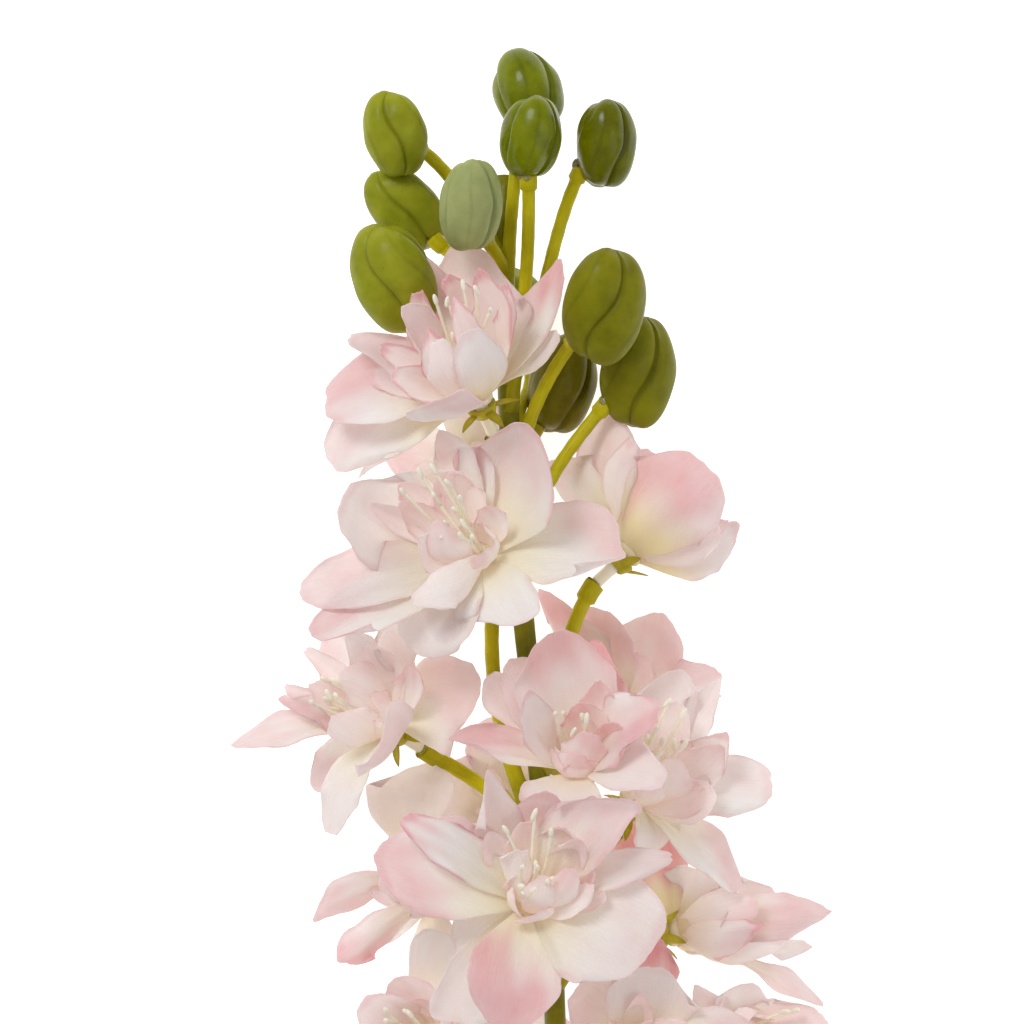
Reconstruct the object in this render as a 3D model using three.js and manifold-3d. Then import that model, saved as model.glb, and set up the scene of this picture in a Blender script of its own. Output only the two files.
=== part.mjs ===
// An artificial delphinium flower stem, cut and lying on a flat surface.
//
// A moulded main stem carries side stalks that end in sockets. Each lower stalk holds a double bloom:
// fabric petals round a ring, threaded on a pale shaft that ends in stamens, over a green calyx. The
// upper stalks hold three-lobed moulded buds. Millimetres, degrees, +X across the stem, +Y along it
// towards the buds, +Z up from the surface at Z = 0.

import * as THREE from "three";
import { mergeVertices } from "three/addons/utils/BufferGeometryUtils.js";
import Module from "manifold-3d";

const wasm = await Module();
wasm.setup();

// ---------------------------------------------------------------- driving dimensions

const CLEARANCE = 0.35; // between any two pieces
const FLATNESS = [0.2, 0.15, 0.12, 0.1, 0.08, 0.06, 0.05, 0.03, 0.02, 0.01, 0]; // of merged facets

// The stem runs from its cut foot on the surface over a low crest to its cut top.
const STEM = {
  radius: 2.7,
  topRadius: 2.2,
  foot: -300,
  top: 81,
  footHeight: 2.4,
  crest: -20,
  crestHeight: 46,
  sides: 8,
  steps: 18,
};
const STEM_SWAY = { from: -2.5, by: 7.2, middle: -45, over: 70 };

const STALK = { radius: 1.75, rootRadius: 2.3, socketRadius: 2.5, socketLength: 5, sides: 5 };
const BUD_STALK = { radius: 1.55, rootRadius: 2.0, socketRadius: 2.1, socketLength: 4, sides: 5 };

// Along a bloom's own axis, measured from the ring that its petals grow from.
const SHAFT = { radius: 1.5, sides: 6, bottom: -10.5, top: 2.3 };
const STAMEN_HEAD = { radius: 2.6, height: 0.9 };
const STAMENS = { count: 5, length: 19, radius: 0.5, tipRadius: 0.8, spread: 12, sides: 3 };
const RING = { radius: 4, bottom: -1.5, top: 2, sides: 6 };
const CALYX = { bottom: -5, top: -1.85, radius: 3.7, taper: 0.74 };
const SEPALS = { count: 5, length: 8, width: 2, thickness: 0.8 };

// base, widest and tip shape a petal's outline; round rounds off its tip.
const OUTER_PETAL = {
  along: 3,
  across: 2,
  thickness: 0.9,
  base: 0.22,
  widest: 0.64,
  tip: 0.58,
  round: 0.07,
};
const INNER_PETAL = { along: 2, across: 2, thickness: 0.8, base: 0.34, widest: 0.6, tip: 0.6, round: 0.2 };
const PLAIN_RING = { count: 6, length: 29, width: 20, open: 74, arch: 0.04 };
const PRESSED_RING = { count: 5, length: 28, width: 19, open: 50, arch: -0.06 };
const HEART = { count: 5, length: 16, width: 9, open: 27, arch: -0.16, rootRadius: 3.5, rootHeight: 1 };
const WIDEST_GAP = 96; // between two outer petals, seen along the bloom's axis

const PRESS_DEPTH = -1.05; // petals pressed on the surface are cut to small flats there
const SPACE = { reach: 10, gap: 0.8, ease: 3, neighbours: 95, layering: 3.5 };

// at: where the petals join; faces: the way the bloom looks; joint: where its stalk leaves the stem;
// sepals: their angle from the bloom's axis; room: its claim on the space between it and others, of 1;
// bow: how far its stalk swings out; petals: tip x, y, z from the join, width, arch, twist.
const BLOOMS = [
  { name: "crown", at: [-8, 27, 56], faces: [-0.33, 0.8, 0.5], joint: -12, sepals: 112, room: 1.8,
    petals: [
      [-37, -1, 4, 23, 0.12, -25],
      [-35, -18, -2, 30, 0.12, 0],
      [-26, -20, -6, 23, 0.1, 0],
      [-30, 15, 8, 15, 0.05, -10],
      [-19, 20, 16, 14, 0.05, 0],
      [-13.5, 34.5, -10, 13, 0.0, 0],
      [-2.5, 37.5, -12, 20, -0.08, 0],
      [19.5, 32, -2, 15, -0.06, 20],
      [21.5, 16.5, -6, 11, 0.05, 20],
      [-3.5, 14.5, 24, 18.5, -0.16, 0],
    ] },
  { name: "left_high", at: [-7.5, -10.5, 60], faces: [-0.35, 0.42, 0.84], joint: -78, sepals: 115,
    room: 1.8, bow: [-11, 0, 6],
    petals: [
      [13, 31.5, 16, 22, -0.12, 0],
      [36, 0, 4, 22, 0.1, 0],
      [-10, 36, 8, 15, -0.04, 0],
      [-30, 17.5, 12, 22.5, -0.14, 0],
      [-42.5, -10, 6, 21, 0.08, 0],
      [-40.5, -21.5, 11, 21, 0.06, 20],
      [-16, -23, 6, 23, 0.1, 0],
      [0.5, 31, 2, 16, 0, 0],
      [-18, -12.5, 20, 12.5, 0.05, 0],
      [9, -19.5, 12, 17, 0.1, 0],
    ] },
  { name: "right_high", at: [28, -10, 42], faces: [0.74, 0.66, -0.15], joint: -54, sepals: 50, fill: false,
    bow: [4, 0, 0],
    petals: [
      [-4, 34.5, -2, 23, -0.1, 45],
      [6.5, 29.5, -16, 16.5, -0.08, 40],
      [18, 22.5, 14, 23, -0.12, 0],
      [26.5, 2, 4, 20, -0.14, 0],
      [24, 17, -18, 19, -0.1, 0],
      [-18, 17, -8, 20, 0.05, 45],
    ] },
  { name: "left_mid", at: [-29.5, -51.5, 50], faces: [-0.72, 0.48, 0.5], joint: -80, sepals: 110, room: 1.6,
    petals: [
      [21.5, 8.5, 0, 27, 0.1, 0],
      [-35.5, -2.5, 8, 19, 0.1, 20],
      [-25, 7.5, 8, 11, 0, 0],
      [-16.5, -25.5, 6, 17, 0.12, 0],
      [-18, -15.5, -8, 14, 0.08, 0],
      [1, 30, 0, 15, -0.05, 0],
      [-10, 21.5, 8, 15, -0.1, 0],
    ] },
  { name: "front_mid", at: [16, -60.5, 62], faces: [-0.1, 0.68, 0.72], joint: -76, sepals: 112, room: 2.3,
    petals: [
      [-5.5, 33, 4, 24.5, -0.12, 0],
      [23, 9, 18, 13.5, 0.18, 0],
      [-12.5, 19.5, 22, 10.5, -0.06, 0],
      [-31, 7, 8, 10, 0.08, 50],
      [-13, 24, -6, 18, 0, 0],
      [18.5, -4, 22, 11, 0.16, -20],
      [5.5, 30, -8, 17, -0.06, 0],
    ] },
  { name: "right_mid", at: [29, -68.5, 50], faces: [0.4, 0.76, 0.5], joint: -84, sepals: 110, room: 1.6,
    petals: [
      [32.5, 4, 2, 23, 0.06, 0],
      [23, -27, 0, 28, 0.1, 0],
      [16, 32, -6, 16, -0.12, 0],
      [9.5, -12.5, -12, 9.5, 0.1, 0],
      [22, 17.5, 8, 12, -0.1, 0],
      [-2, 26, -10, 14.5, -0.1, 0],
    ] },
  { name: "front_low", at: [4, -91, 70], faces: [0.05, 0.38, 0.92], joint: -108, sepals: 118, room: 2,
    petals: [
      [-35, 10, 8, 23, 0.12, 0],
      [-22, -27, -4, 17.5, 0.12, 0],
      [-7, -29.5, 4, 20.5, 0.14, 0],
      [27, -19, 2, 25, 0.12, 0],
      [23.5, 29.5, 16, 15.5, 0.16, 0],
      [4.5, 31, 8, 17.5, -0.1, 0],
      [-7, 31.5, 14, 12, -0.1, 0],
      [30, 5, 4, 20, 0.08, 0],
      [-31, 24, 2, 11, 0.04, 0],
    ] },
  { name: "left_low", at: [-17, -89.5, 44], faces: [-0.85, 0.22, 0.12], joint: -100, sepals: 100,
    petals: [
      [-5.5, 37, 6, 26, 0.16, 40],
      [-30, -9, 4, 12.5, 0.05, 70],
      [-24, -19.5, 12, 14, 0.1, 65],
      [-6.5, -24.5, 6, 18, 0.1, -40],
      [-13, 12, -22, 17, -0.05, 0],
      [-15.5, -15, -26, 17, 0.0, 0],
    ] },
  { name: "right_low", at: [38.5, -101, 42], faces: [0.88, 0.05, -0.25], joint: -114, sepals: 50, room: 0.8,
    petals: [
      [36, 5, 2, 15.5, -0.08, 0],
      [33.5, -6, -12, 17.5, -0.1, 0],
      [31.5, -18, 0, 10.5, 0.1, 20],
      [-6.5, 17.5, 6, 15, 0.1, 0],
      [19.5, 0, 12, 11, -0.05, 0],
      [26.5, 5.5, -22, 17, -0.1, 0],
    ] },
  { name: "left_foot", at: [-18.5, -128, 55], faces: [-0.4, 0.5, 0.76], joint: -137, sepals: 112,
    petals: [
      [-13, 10, 14, 13, 0.05, 0],
      [-3, 25, 8, 14, -0.05, 0],
      [6, 29, 1, 20, -0.05, 0],
      [-20, -9, 10, 17, 0.05, 0],
      [20, 10, 6, 17, 0.0, 0],
      [2, -24, 10, 19, 0.05, 0],
    ] },
  { name: "front_foot", at: [30, -129.5, 62], faces: [0.3, 0.32, 0.9], joint: -144, sepals: 114,
    petals: [
      [4, 28.5, 0, 23, -0.08, 0],
      [-18, 18, 2, 24, 0.0, 0],
      [19, 12, -2, 24, 0.0, 0],
    ] },
  { name: "right_foot", at: [50.5, -129, 46], faces: [0.78, 0.34, 0.45], joint: -141, sepals: 110,
    petals: [
      [-7, 19, 10, 17, 0.0, 0],
      [9, 22, 4, 17, 0.0, 0],
      [24, 9, 2, 16, 0.05, 0],
    ] },
  { name: "back_high", at: [-9, 9, 18], faces: [-0.3, 0.1, -0.95], joint: -6, sepals: 95, petals: [] },
  { name: "back_right", at: [27, -49.5, 30], faces: [0.4, 0.7, -0.6], joint: -62, sepals: 95,
    petals: [
      [-6, 27, 3, 20, -0.08, 0],
      [9, 23.5, -2, 19, -0.08, 0],
      [24, 9.5, 4, 14, 0, 0],
      [-19, 31, -4, 22, -0.05, 0],
      [13, -1, -40, 16, 0.04, 0],
    ] },
  { name: "back_mid", at: [0.5, -74, 19.5], faces: [-0.42, 0.1, -0.9], joint: -84, sepals: 95, petals: [] },
  { name: "back_foot", at: [10, -142.5, 18], faces: [-0.15, -0.25, -0.95], joint: -132, sepals: 95,
    petals: [] },
];

// centre: middle of the bud; axis: from its lower to its upper end; stalk: where its stalk meets it;
// spin: how its three lobes are turned, 90 with one uppermost; joint: as for a bloom.
const BUDS = [
  { name: "bud_top", centre: [3.6, 102.8, 40], axis: [-0.35, 0.85, -0.3], stalk: [2.5, 95, 42],
    length: 19.5, width: 17.5, spin: 85, joint: 50 },
  { name: "bud_front", centre: [4.6, 89.7, 55], axis: [0.1, 0.93, 0.3], stalk: [3.9, 79.5, 52.5],
    length: 19, width: 14.8, spin: 92, joint: 24, bow: [3, 0, 0] },
  { name: "bud_right", centre: [22.2, 88.5, 50], axis: [0.05, 0.95, 0.3], stalk: [16.6, 82.4, 46],
    length: 20.5, width: 14.8, spin: 55, joint: 30, bow: [2, 0, 0] },
  { name: "bud_left_top", centre: [-28.4, 91, 52.5], axis: [-0.12, 0.93, 0.3], stalk: [-21.6, 87, 44],
    length: 20, width: 15, spin: 45, joint: 60 },
  { name: "bud_left", centre: [-26, 73.6, 41], axis: [-0.55, 0.76, 0.35], stalk: [-18.2, 65, 42],
    length: 22.5, width: 16, spin: 30, joint: 52 },
  { name: "bud_left_low", centre: [-28.7, 56, 55], axis: [-0.25, 0.9, 0.35], stalk: [-20.5, 48, 45],
    length: 26.5, width: 19.6, spin: 55, joint: 40 },
  { name: "bud_pale", centre: [-9.7, 72.8, 62], axis: [0.05, 0.93, 0.35], stalk: [-6.5, 65.5, 53],
    length: 21.5, width: 15, spin: 10, joint: 57 },
  { name: "bud_high_right", centre: [22.2, 49.2, 63.5], axis: [0.1, 0.94, 0.3], stalk: [14.5, 40.5, 54.5],
    length: 27, width: 19.8, spin: 30, joint: 10 },
  { name: "bud_low_right", centre: [30.5, 34.4, 45], axis: [0.05, 0.95, 0.25], stalk: [23, 26.5, 45],
    length: 26.5, width: 18.4, spin: 90, joint: -10 },
  { name: "bud_under", centre: [1, 50, 8.2], axis: [-0.1, 0.97, 0.12], stalk: [4, 39, 14],
    length: 22, width: 17.4, spin: 268, joint: 16 },
  { name: "bud_back", centre: [12.8, 32, 33.5], axis: [0.2, 0.94, 0.1], stalk: [8, 24.5, 33],
    length: 23.5, width: 17, spin: 70, joint: 8 },
];
const BUD = { meridians: 12, rows: 7, offset: 0.14, lag: 0.05 }; // lobes' offset and lag, of the width

const COLOURS = {
  stem: 0x6f7a1e,
  bud: 0x8a9a3c,
  petals: 0xf0d3cf,
  stamens: 0xf1ead6,
  calyx: 0x9a9528,
};

// ---------------------------------------------------------------- small tools

const vec = (x, y, z) => new THREE.Vector3(x, y, z);
const radians = THREE.MathUtils.degToRad;

// A repeatable source of numbers from 0 to 1.
function seeded(seed) {
  let state = seed;
  return () => {
    state = (state * 16807) % 2147483647;
    return state / 2147483647;
  };
}

// The two directions square to a unit axis: (first, second, axis) is right-handed.
function across(axis) {
  const helper = Math.abs(axis.z) < 0.9 ? vec(0, 0, 1) : vec(1, 0, 0);
  const first = vec(0, 0, 0).crossVectors(helper, axis).normalize();
  return [first, vec(0, 0, 0).crossVectors(axis, first)];
}

function geometryOf(points, faces) {
  const geometry = new THREE.BufferGeometry();
  const numbers = points.flatMap((point) => point.toArray());
  geometry.setAttribute("position", new THREE.Float32BufferAttribute(numbers, 3));
  geometry.setIndex(faces.flat());
  return geometry;
}

function solidOf(geometry) {
  const bare = geometry.clone();
  bare.deleteAttribute("normal");
  bare.deleteAttribute("uv");
  const merged = mergeVertices(bare, 1e-4);
  return new wasm.Manifold(
    new wasm.Mesh({
      numProp: 3,
      vertProperties: new Float32Array(merged.attributes.position.array),
      triVerts: new Uint32Array(merged.index.array),
    }),
  );
}

const join = (solids) => solids.reduce((all, solid) => all.add(solid));

// The largest body of a solid, without any hollow sealed inside it.
function mainBody(solid) {
  const { vertProperties, triVerts } = solid.getMesh();
  const group = Array.from({ length: vertProperties.length / 3 }, (_, i) => i);
  const rootOf = (i) => (group[i] === i ? i : (group[i] = rootOf(group[i])));
  for (let i = 0; i < triVerts.length; i += 3) {
    group[rootOf(triVerts[i])] = rootOf(triVerts[i + 1]);
    group[rootOf(triVerts[i])] = rootOf(triVerts[i + 2]);
  }
  const shells = new Map();
  for (let i = 0; i < triVerts.length; i += 3) {
    const shell = rootOf(triVerts[i]);
    if (!shells.has(shell)) shells.set(shell, []);
    shells.get(shell).push(...triVerts.slice(i, i + 3));
  }
  const geometry = new THREE.BufferGeometry();
  geometry.setAttribute("position", new THREE.BufferAttribute(vertProperties, 3));
  const largest = [...shells.values()].reduce((best, shell) => (shell.length > best.length ? shell : best));
  geometry.setIndex(largest);
  return solidOf(geometry.toNonIndexed());
}

// Whether any edge of a solid's mesh has more than two facets once near points are merged.
function isPinched(geometry) {
  const { array } = mergeVertices(geometry.toNonIndexed(), 1e-3).index;
  const counts = new Map();
  for (let i = 0; i < array.length; i++) {
    const [a, b] = [array[i], array[i % 3 === 2 ? i - 2 : i + 1]];
    const edge = `${Math.min(a, b)} ${Math.max(a, b)}`;
    counts.set(edge, (counts.get(edge) ?? 0) + 1);
  }
  return [...counts.values()].some((count) => count !== 2);
}

// A mesh of a solid, with nearly flat neighbouring facets merged.
function meshOf(name, solid, material) {
  let geometry = null;
  for (const flatness of FLATNESS) {
    const { vertProperties, triVerts } = mainBody(solid.simplify(flatness)).getMesh();
    geometry = new THREE.BufferGeometry();
    geometry.setAttribute("position", new THREE.Float32BufferAttribute(vertProperties, 3));
    geometry.setIndex(new THREE.Uint32BufferAttribute(triVerts, 1));
    if (!isPinched(geometry)) break;
  }
  geometry.computeVertexNormals();
  const mesh = new THREE.Mesh(geometry, material);
  mesh.name = name;
  return mesh;
}

// A closed solid through rings of points, each ring running the same way round. It is capped at both
// ends, or joined end to end as a hoop.
function loft(rings, hoop = false) {
  const sides = rings[0].length;
  const faces = [];
  const at = (ring, side) => (ring % rings.length) * sides + (side % sides);
  for (let ring = 0; ring + (hoop ? 0 : 1) < rings.length; ring++) {
    for (let side = 0; side < sides; side++) {
      faces.push([at(ring, side), at(ring, side + 1), at(ring + 1, side + 1)]);
      faces.push([at(ring, side), at(ring + 1, side + 1), at(ring + 1, side)]);
    }
  }
  const last = rings.length - 1;
  for (let side = 1; side + 1 < sides && !hoop; side++) {
    faces.push([at(0, 0), at(0, side + 1), at(0, side)]);
    faces.push([at(last, 0), at(last, side), at(last, side + 1)]);
  }
  return solidOf(geometryOf(rings.flat(), faces));
}

function ringAt(centre, first, second, radius, sides) {
  return Array.from({ length: sides }, (_, side) => {
    const turn = (side / sides) * 2 * Math.PI;
    return centre
      .clone()
      .addScaledVector(first, Math.cos(turn) * radius)
      .addScaledVector(second, Math.sin(turn) * radius);
  });
}

// A round rod through points, with a radius at each of them. Its last face looks along the heading.
function rod(points, radii, sides, heading) {
  let first = null;
  const last = points.length - 1;
  const rings = points.map((point, i) => {
    const ahead = points[Math.min(i + 1, last)].clone().sub(points[Math.max(i - 1, 0)]);
    const tangent = (i === last && heading ? heading.clone() : ahead).normalize();
    const before = first ?? across(tangent)[0];
    first = before.clone().addScaledVector(tangent, -before.dot(tangent)).normalize();
    const second = vec(0, 0, 0).crossVectors(tangent, first);
    return ringAt(point, first, second, radii[i], sides);
  });
  return loft(rings);
}

// A few-sided turned piece about an axis, through pairs of height and radius.
function turned(origin, axis, sides, profile) {
  const [first, second] = across(axis);
  return loft(
    profile.map(([height, radius]) =>
      ringAt(origin.clone().addScaledVector(axis, height), first, second, radius, sides),
    ),
  );
}

// A prism or cone frustum along an axis, from one height to another.
function post(origin, axis, bottom, top, bottomRadius, topRadius, sides) {
  return turned(origin, axis, sides, [[bottom, bottomRadius], [top, topRadius]]);
}

// ---------------------------------------------------------------- stem and stalks

function stemPoint(y) {
  const { from, by, middle, over } = STEM_SWAY;
  const fall = (y - STEM.crest) / (STEM.foot - STEM.crest);
  const height = STEM.crestHeight - (STEM.crestHeight - STEM.footHeight) * fall * fall;
  return vec(from + by * (1 - Math.tanh((y - middle) / over)), y, height);
}

function mainStem(grow) {
  const heights = Array.from({ length: STEM.steps + 1 }, (_, i) => i / STEM.steps);
  const points = heights.map((share) => stemPoint(STEM.foot + (STEM.top - STEM.foot) * share));
  const radii = heights.map((share) => STEM.radius + (STEM.topRadius - STEM.radius) * share ** 3 + grow);
  return rod(points, radii, STEM.sides);
}

// A side stalk from the stem to a socket at end, which it reaches along the direction given. It may
// bow out on the way.
function stalk({ joint, bow }, end, direction, size, grow) {
  const start = stemPoint(joint);
  const length = start.distanceTo(end);
  const rise = stemPoint(joint + 1).sub(start).normalize();
  const leave = end.clone().sub(start).normalize().addScaledVector(rise, 0.4).normalize();
  const curve = new THREE.CubicBezierCurve3(
    start,
    start.clone().addScaledVector(leave, length * 0.4).add(bow),
    end.clone().addScaledVector(direction, -length * 0.4).add(bow),
    end,
  );
  const neck = 1 - size.socketLength / length;
  const stations = [0, neck * 0.45, neck - 0.02, neck, 1];
  const radii = [size.rootRadius, size.radius, size.radius, size.socketRadius, size.socketRadius];
  return rod(
    stations.map((share) => curve.getPointAt(share)),
    radii.map((radius) => radius + grow),
    size.sides,
    direction,
  );
}

// ---------------------------------------------------------------- buds

// The distance from a bud's centre to its skin: the furthest of three long lobes about its axis.
function budRadius(bud, direction) {
  const offset = BUD.offset * bud.width;
  const [thick, long] = [bud.width / 2 - offset, bud.length / 2];
  const [first, second] = across(bud.axis);
  const [x, y, z] = [direction.dot(first), direction.dot(second), direction.dot(bud.axis)];
  const a = (x * x + y * y) / thick ** 2 + (z / long) ** 2;
  const reaches = [0, 1, 2].map((lobe) => {
    const turn = radians(bud.spin + 120 * lobe);
    const [cx, cy] = [Math.cos(turn) * offset, Math.sin(turn) * offset];
    const cz = -BUD.lag * bud.width * lobe;
    const b = (x * cx + y * cy) / thick ** 2 + (z * cz) / long ** 2;
    const c = (offset / thick) ** 2 + (cz / long) ** 2 - 1;
    return (b + Math.sqrt(b * b - a * c)) / a;
  });
  return Math.max(...reaches);
}

// An oval body of three lobes, over meridians that follow its lobes and grooves.
function budSolid(bud, grow) {
  const [first, second] = across(bud.axis);
  const skin = (tilt, turn) => {
    const direction = vec(0, 0, 0)
      .addScaledVector(first, Math.cos(turn) * Math.sin(tilt))
      .addScaledVector(second, Math.sin(turn) * Math.sin(tilt))
      .addScaledVector(bud.axis, Math.cos(tilt));
    return bud.centre.clone().addScaledVector(direction, budRadius(bud, direction) + grow);
  };
  const rows = Array.from({ length: BUD.rows }, (_, i) => {
    const tilt = Math.PI * (1 - (i + 0.3) / (BUD.rows - 0.4));
    return Array.from({ length: BUD.meridians }, (_, k) =>
      skin(tilt, radians(bud.spin) + (k / BUD.meridians) * 2 * Math.PI),
    );
  });
  return loft(rows);
}

// A bud's stalk, let a little into it.
function budStalk(bud, grow) {
  const inward = bud.centre.clone().sub(bud.stalk).normalize();
  const skin = budRadius(bud, inward.clone().negate());
  const end = bud.centre.clone().addScaledVector(inward, 0.5 - skin);
  return stalk(bud, end, inward, BUD_STALK, grow);
}

// ---------------------------------------------------------------- blooms

// Each bloom keeps to its own side of a plane between it and each neighbour, shared by their room. The
// planes lean, so that the petals of a higher bloom lie over those of a lower one.
function boundsOf(bloom) {
  const mine = bloom.at.clone().addScaledVector(bloom.faces, SPACE.reach);
  const planes = [];
  for (const other of BLOOMS) {
    if (other === bloom) continue;
    const theirs = other.at.clone().addScaledVector(other.faces, SPACE.reach);
    const between = theirs.clone().sub(mine);
    if (between.length() > SPACE.neighbours) continue;
    const share = (bloom.room ?? 1) / ((bloom.room ?? 1) + (other.room ?? 1));
    between.z *= SPACE.layering;
    planes.push({ point: mine.clone().lerp(theirs, share), normal: between.normalize() });
  }
  return planes;
}

// A distance past a boundary becomes one just short of it, easing in over the last stretch.
function eased(past) {
  if (past < -SPACE.ease) return past;
  const room = SPACE.ease - SPACE.gap;
  return -SPACE.gap - room * Math.exp(-(past + SPACE.ease) / room);
}

// Bends a point of a bloom clear of its neighbours, of the stem and of the surface below.
function keepClear(point, bloom) {
  const p = point.clone();
  for (const { point: foot, normal } of bloom.planes) {
    const past = p.clone().sub(foot).dot(normal);
    p.addScaledVector(normal, eased(past) - past);
  }
  const past = STEM.radius + SPACE.gap - p.clone().sub(stemPoint(p.y)).dot(bloom.side);
  p.addScaledVector(bloom.side, past - eased(past));
  const under = PRESS_DEPTH - p.z;
  p.z = PRESS_DEPTH - eased(under);
  for (const { point: foot, normal } of bloom.planes) {
    const over = p.clone().sub(foot).dot(normal) + SPACE.gap;
    if (over > 0) p.addScaledVector(normal, -over);
  }
  return p;
}

// A thin blade over a grid of points: both faces share its rim and are split into triangles alike.
function blade(grid, thickness) {
  const rows = grid.length;
  const columns = grid[0].length;
  const onRim = (i, j) => i === 0 || j === 0 || i === rows - 1 || j === columns - 1;
  const points = [];
  const upper = grid.map(() => []);
  const lower = grid.map(() => []);
  for (let i = 0; i < rows; i++) {
    for (let j = 0; j < columns; j++) {
      upper[i][j] = lower[i][j] = points.length;
      if (onRim(i, j)) {
        points.push(grid[i][j]);
        continue;
      }
      const along = grid[i + 1][j].clone().sub(grid[i - 1][j]);
      const aside = grid[i][j + 1].clone().sub(grid[i][j - 1]);
      const offset = along.cross(aside).normalize().multiplyScalar(thickness / 2);
      lower[i][j] = points.length + 1;
      points.push(grid[i][j].clone().add(offset), grid[i][j].clone().sub(offset));
    }
  }
  const faces = [];
  for (let i = 0; i + 1 < rows; i++) {
    for (let j = 0; j + 1 < columns; j++) {
      const low = i < (rows - 1) / 2;
      const left = j < (columns - 1) / 2;
      for (const [face, flip] of [[upper, false], [lower, true]]) {
        const [a, b, c, d] = [face[i][j], face[i + 1][j], face[i + 1][j + 1], face[i][j + 1]];
        const pair = low === left ? [[a, b, c], [a, c, d]] : [[a, b, d], [b, c, d]];
        faces.push(...pair.map((corners) => (flip ? corners.reverse() : corners)));
      }
    }
  }
  return solidOf(geometryOf(points, faces));
}

// The half width of a petal at a share of its length: narrow at its base, fullest past the middle.
function fullnessAt(share, form) {
  if (share < form.widest) {
    return form.base + (1 - form.base) * Math.sin(((Math.PI / 2) * share) / form.widest);
  }
  return form.tip + (1 - form.tip) * Math.cos(((Math.PI / 2) * (share - form.widest)) / (1 - form.widest));
}

// The points of a petal's middle surface. Its spine is a curve from the bloom's ring to the tip.
function petalGrid(bloom, petal, form) {
  const outward = petal.tip.clone().addScaledVector(bloom.faces, -petal.tip.dot(bloom.faces)).normalize();
  const root = bloom.at
    .clone()
    .addScaledVector(outward, petal.rootRadius)
    .addScaledVector(bloom.faces, petal.rootHeight);
  const tip = bloom.at.clone().add(petal.tip);
  const chord = tip.clone().sub(root);
  const round = vec(0, 0, 0).crossVectors(bloom.faces, outward).normalize();
  const above = vec(0, 0, 0).crossVectors(chord, round).normalize();
  const middle = root.clone().lerp(tip, 0.5).addScaledVector(above, 2 * petal.arch * chord.length());
  const spine = new THREE.QuadraticBezierCurve3(root, middle, tip);
  const grid = [];
  for (let i = 0; i <= form.along; i++) {
    const row = [];
    for (let j = 0; j <= form.across; j++) {
      const v = (2 * j) / form.across - 1;
      const share = i / form.along;
      const u = share * (1 - form.round * v * v * share * share);
      const tangent = spine.getTangent(u);
      const up = vec(0, 0, 0).crossVectors(tangent, round).normalize();
      const twist = radians(petal.twist) * (0.3 + 0.7 * share);
      const side = vec(0, 0, 0).crossVectors(up, tangent).applyAxisAngle(tangent, twist);
      up.applyAxisAngle(tangent, twist);
      const half = (petal.width / 2) * fullnessAt(share, form);
      const lift = petal.cup * half * v * v + petal.wave * Math.sin(7 * share + petal.phase) * v * share;
      const point = spine.getPoint(u).addScaledVector(side, half * v).addScaledVector(up, lift);
      row.push(keepClear(point, bloom));
    }
    grid.push(row);
  }
  return grid;
}

// A petal at an angle round the bloom and an angle open from its axis.
function turnedTip(bloom, turn, open, length) {
  const [first, second] = across(bloom.faces);
  return vec(0, 0, 0)
    .addScaledVector(first, Math.cos(turn) * Math.sin(open) * length)
    .addScaledVector(second, Math.sin(turn) * Math.sin(open) * length)
    .addScaledVector(bloom.faces, Math.cos(open) * length);
}

// The petals placed by hand, then one in each wide gap that they leave round the bloom.
function outerPetals(bloom, random) {
  const ring = bloom.faces.z < -0.5 ? PRESSED_RING : PLAIN_RING;
  const [first, second] = across(bloom.faces);
  const rim = { rootRadius: 2.6, rootHeight: 0.2, cup: 0.12, wave: 1.1 };
  const petals = bloom.petals.map(([x, y, z, width, arch, twist]) => {
    return { ...rim, tip: vec(x, y, z), width, arch, twist, phase: random() * 6 };
  });
  const turns = petals.map(({ tip }) => Math.atan2(tip.dot(second), tip.dot(first))).sort((a, b) => a - b);
  const fill = [];
  if (!turns.length) {
    const start = random() * 6;
    for (let i = 0; i < ring.count; i++) fill.push(start + (i / ring.count) * 2 * Math.PI);
  }
  if (bloom.fill === false) turns.length = 0;
  turns.forEach((turn, i) => {
    const next = i + 1 < turns.length ? turns[i + 1] : turns[0] + 2 * Math.PI;
    const extra = Math.floor((next - turn) / radians(WIDEST_GAP));
    for (let k = 1; k <= extra; k++) fill.push(turn + ((next - turn) * k) / (extra + 1));
  });
  for (const turn of fill) {
    const length = ring.length * (0.92 + 0.16 * random());
    const open = radians(ring.open + 16 * (random() - 0.5));
    petals.push({
      ...rim,
      tip: turnedTip(bloom, turn + 0.2 * (random() - 0.5), open, length),
      width: ring.width * (0.88 + 0.2 * random()),
      arch: ring.arch + 0.16 * (random() - 0.5),
      twist: 30 * (random() - 0.5),
      phase: random() * 6,
    });
  }
  return petals;
}

// The smaller petals that stand round the stamens.
function heartPetals(random, bloom) {
  const start = random() * 6;
  return Array.from({ length: HEART.count }, (_, i) => {
    const turn = start + (i / HEART.count) * 2 * Math.PI + 0.3 * (random() - 0.5);
    const open = radians(HEART.open + 14 * (random() - 0.5));
    return {
      tip: turnedTip(bloom, turn, open, HEART.length * (0.85 + 0.3 * random())),
      width: HEART.width * (0.85 + 0.3 * random()),
      arch: HEART.arch,
      twist: 24 * (random() - 0.5),
      cup: 0.22,
      wave: 0.4,
      phase: random() * 6,
      rootRadius: HEART.rootRadius,
      rootHeight: HEART.rootHeight,
    };
  });
}

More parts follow.
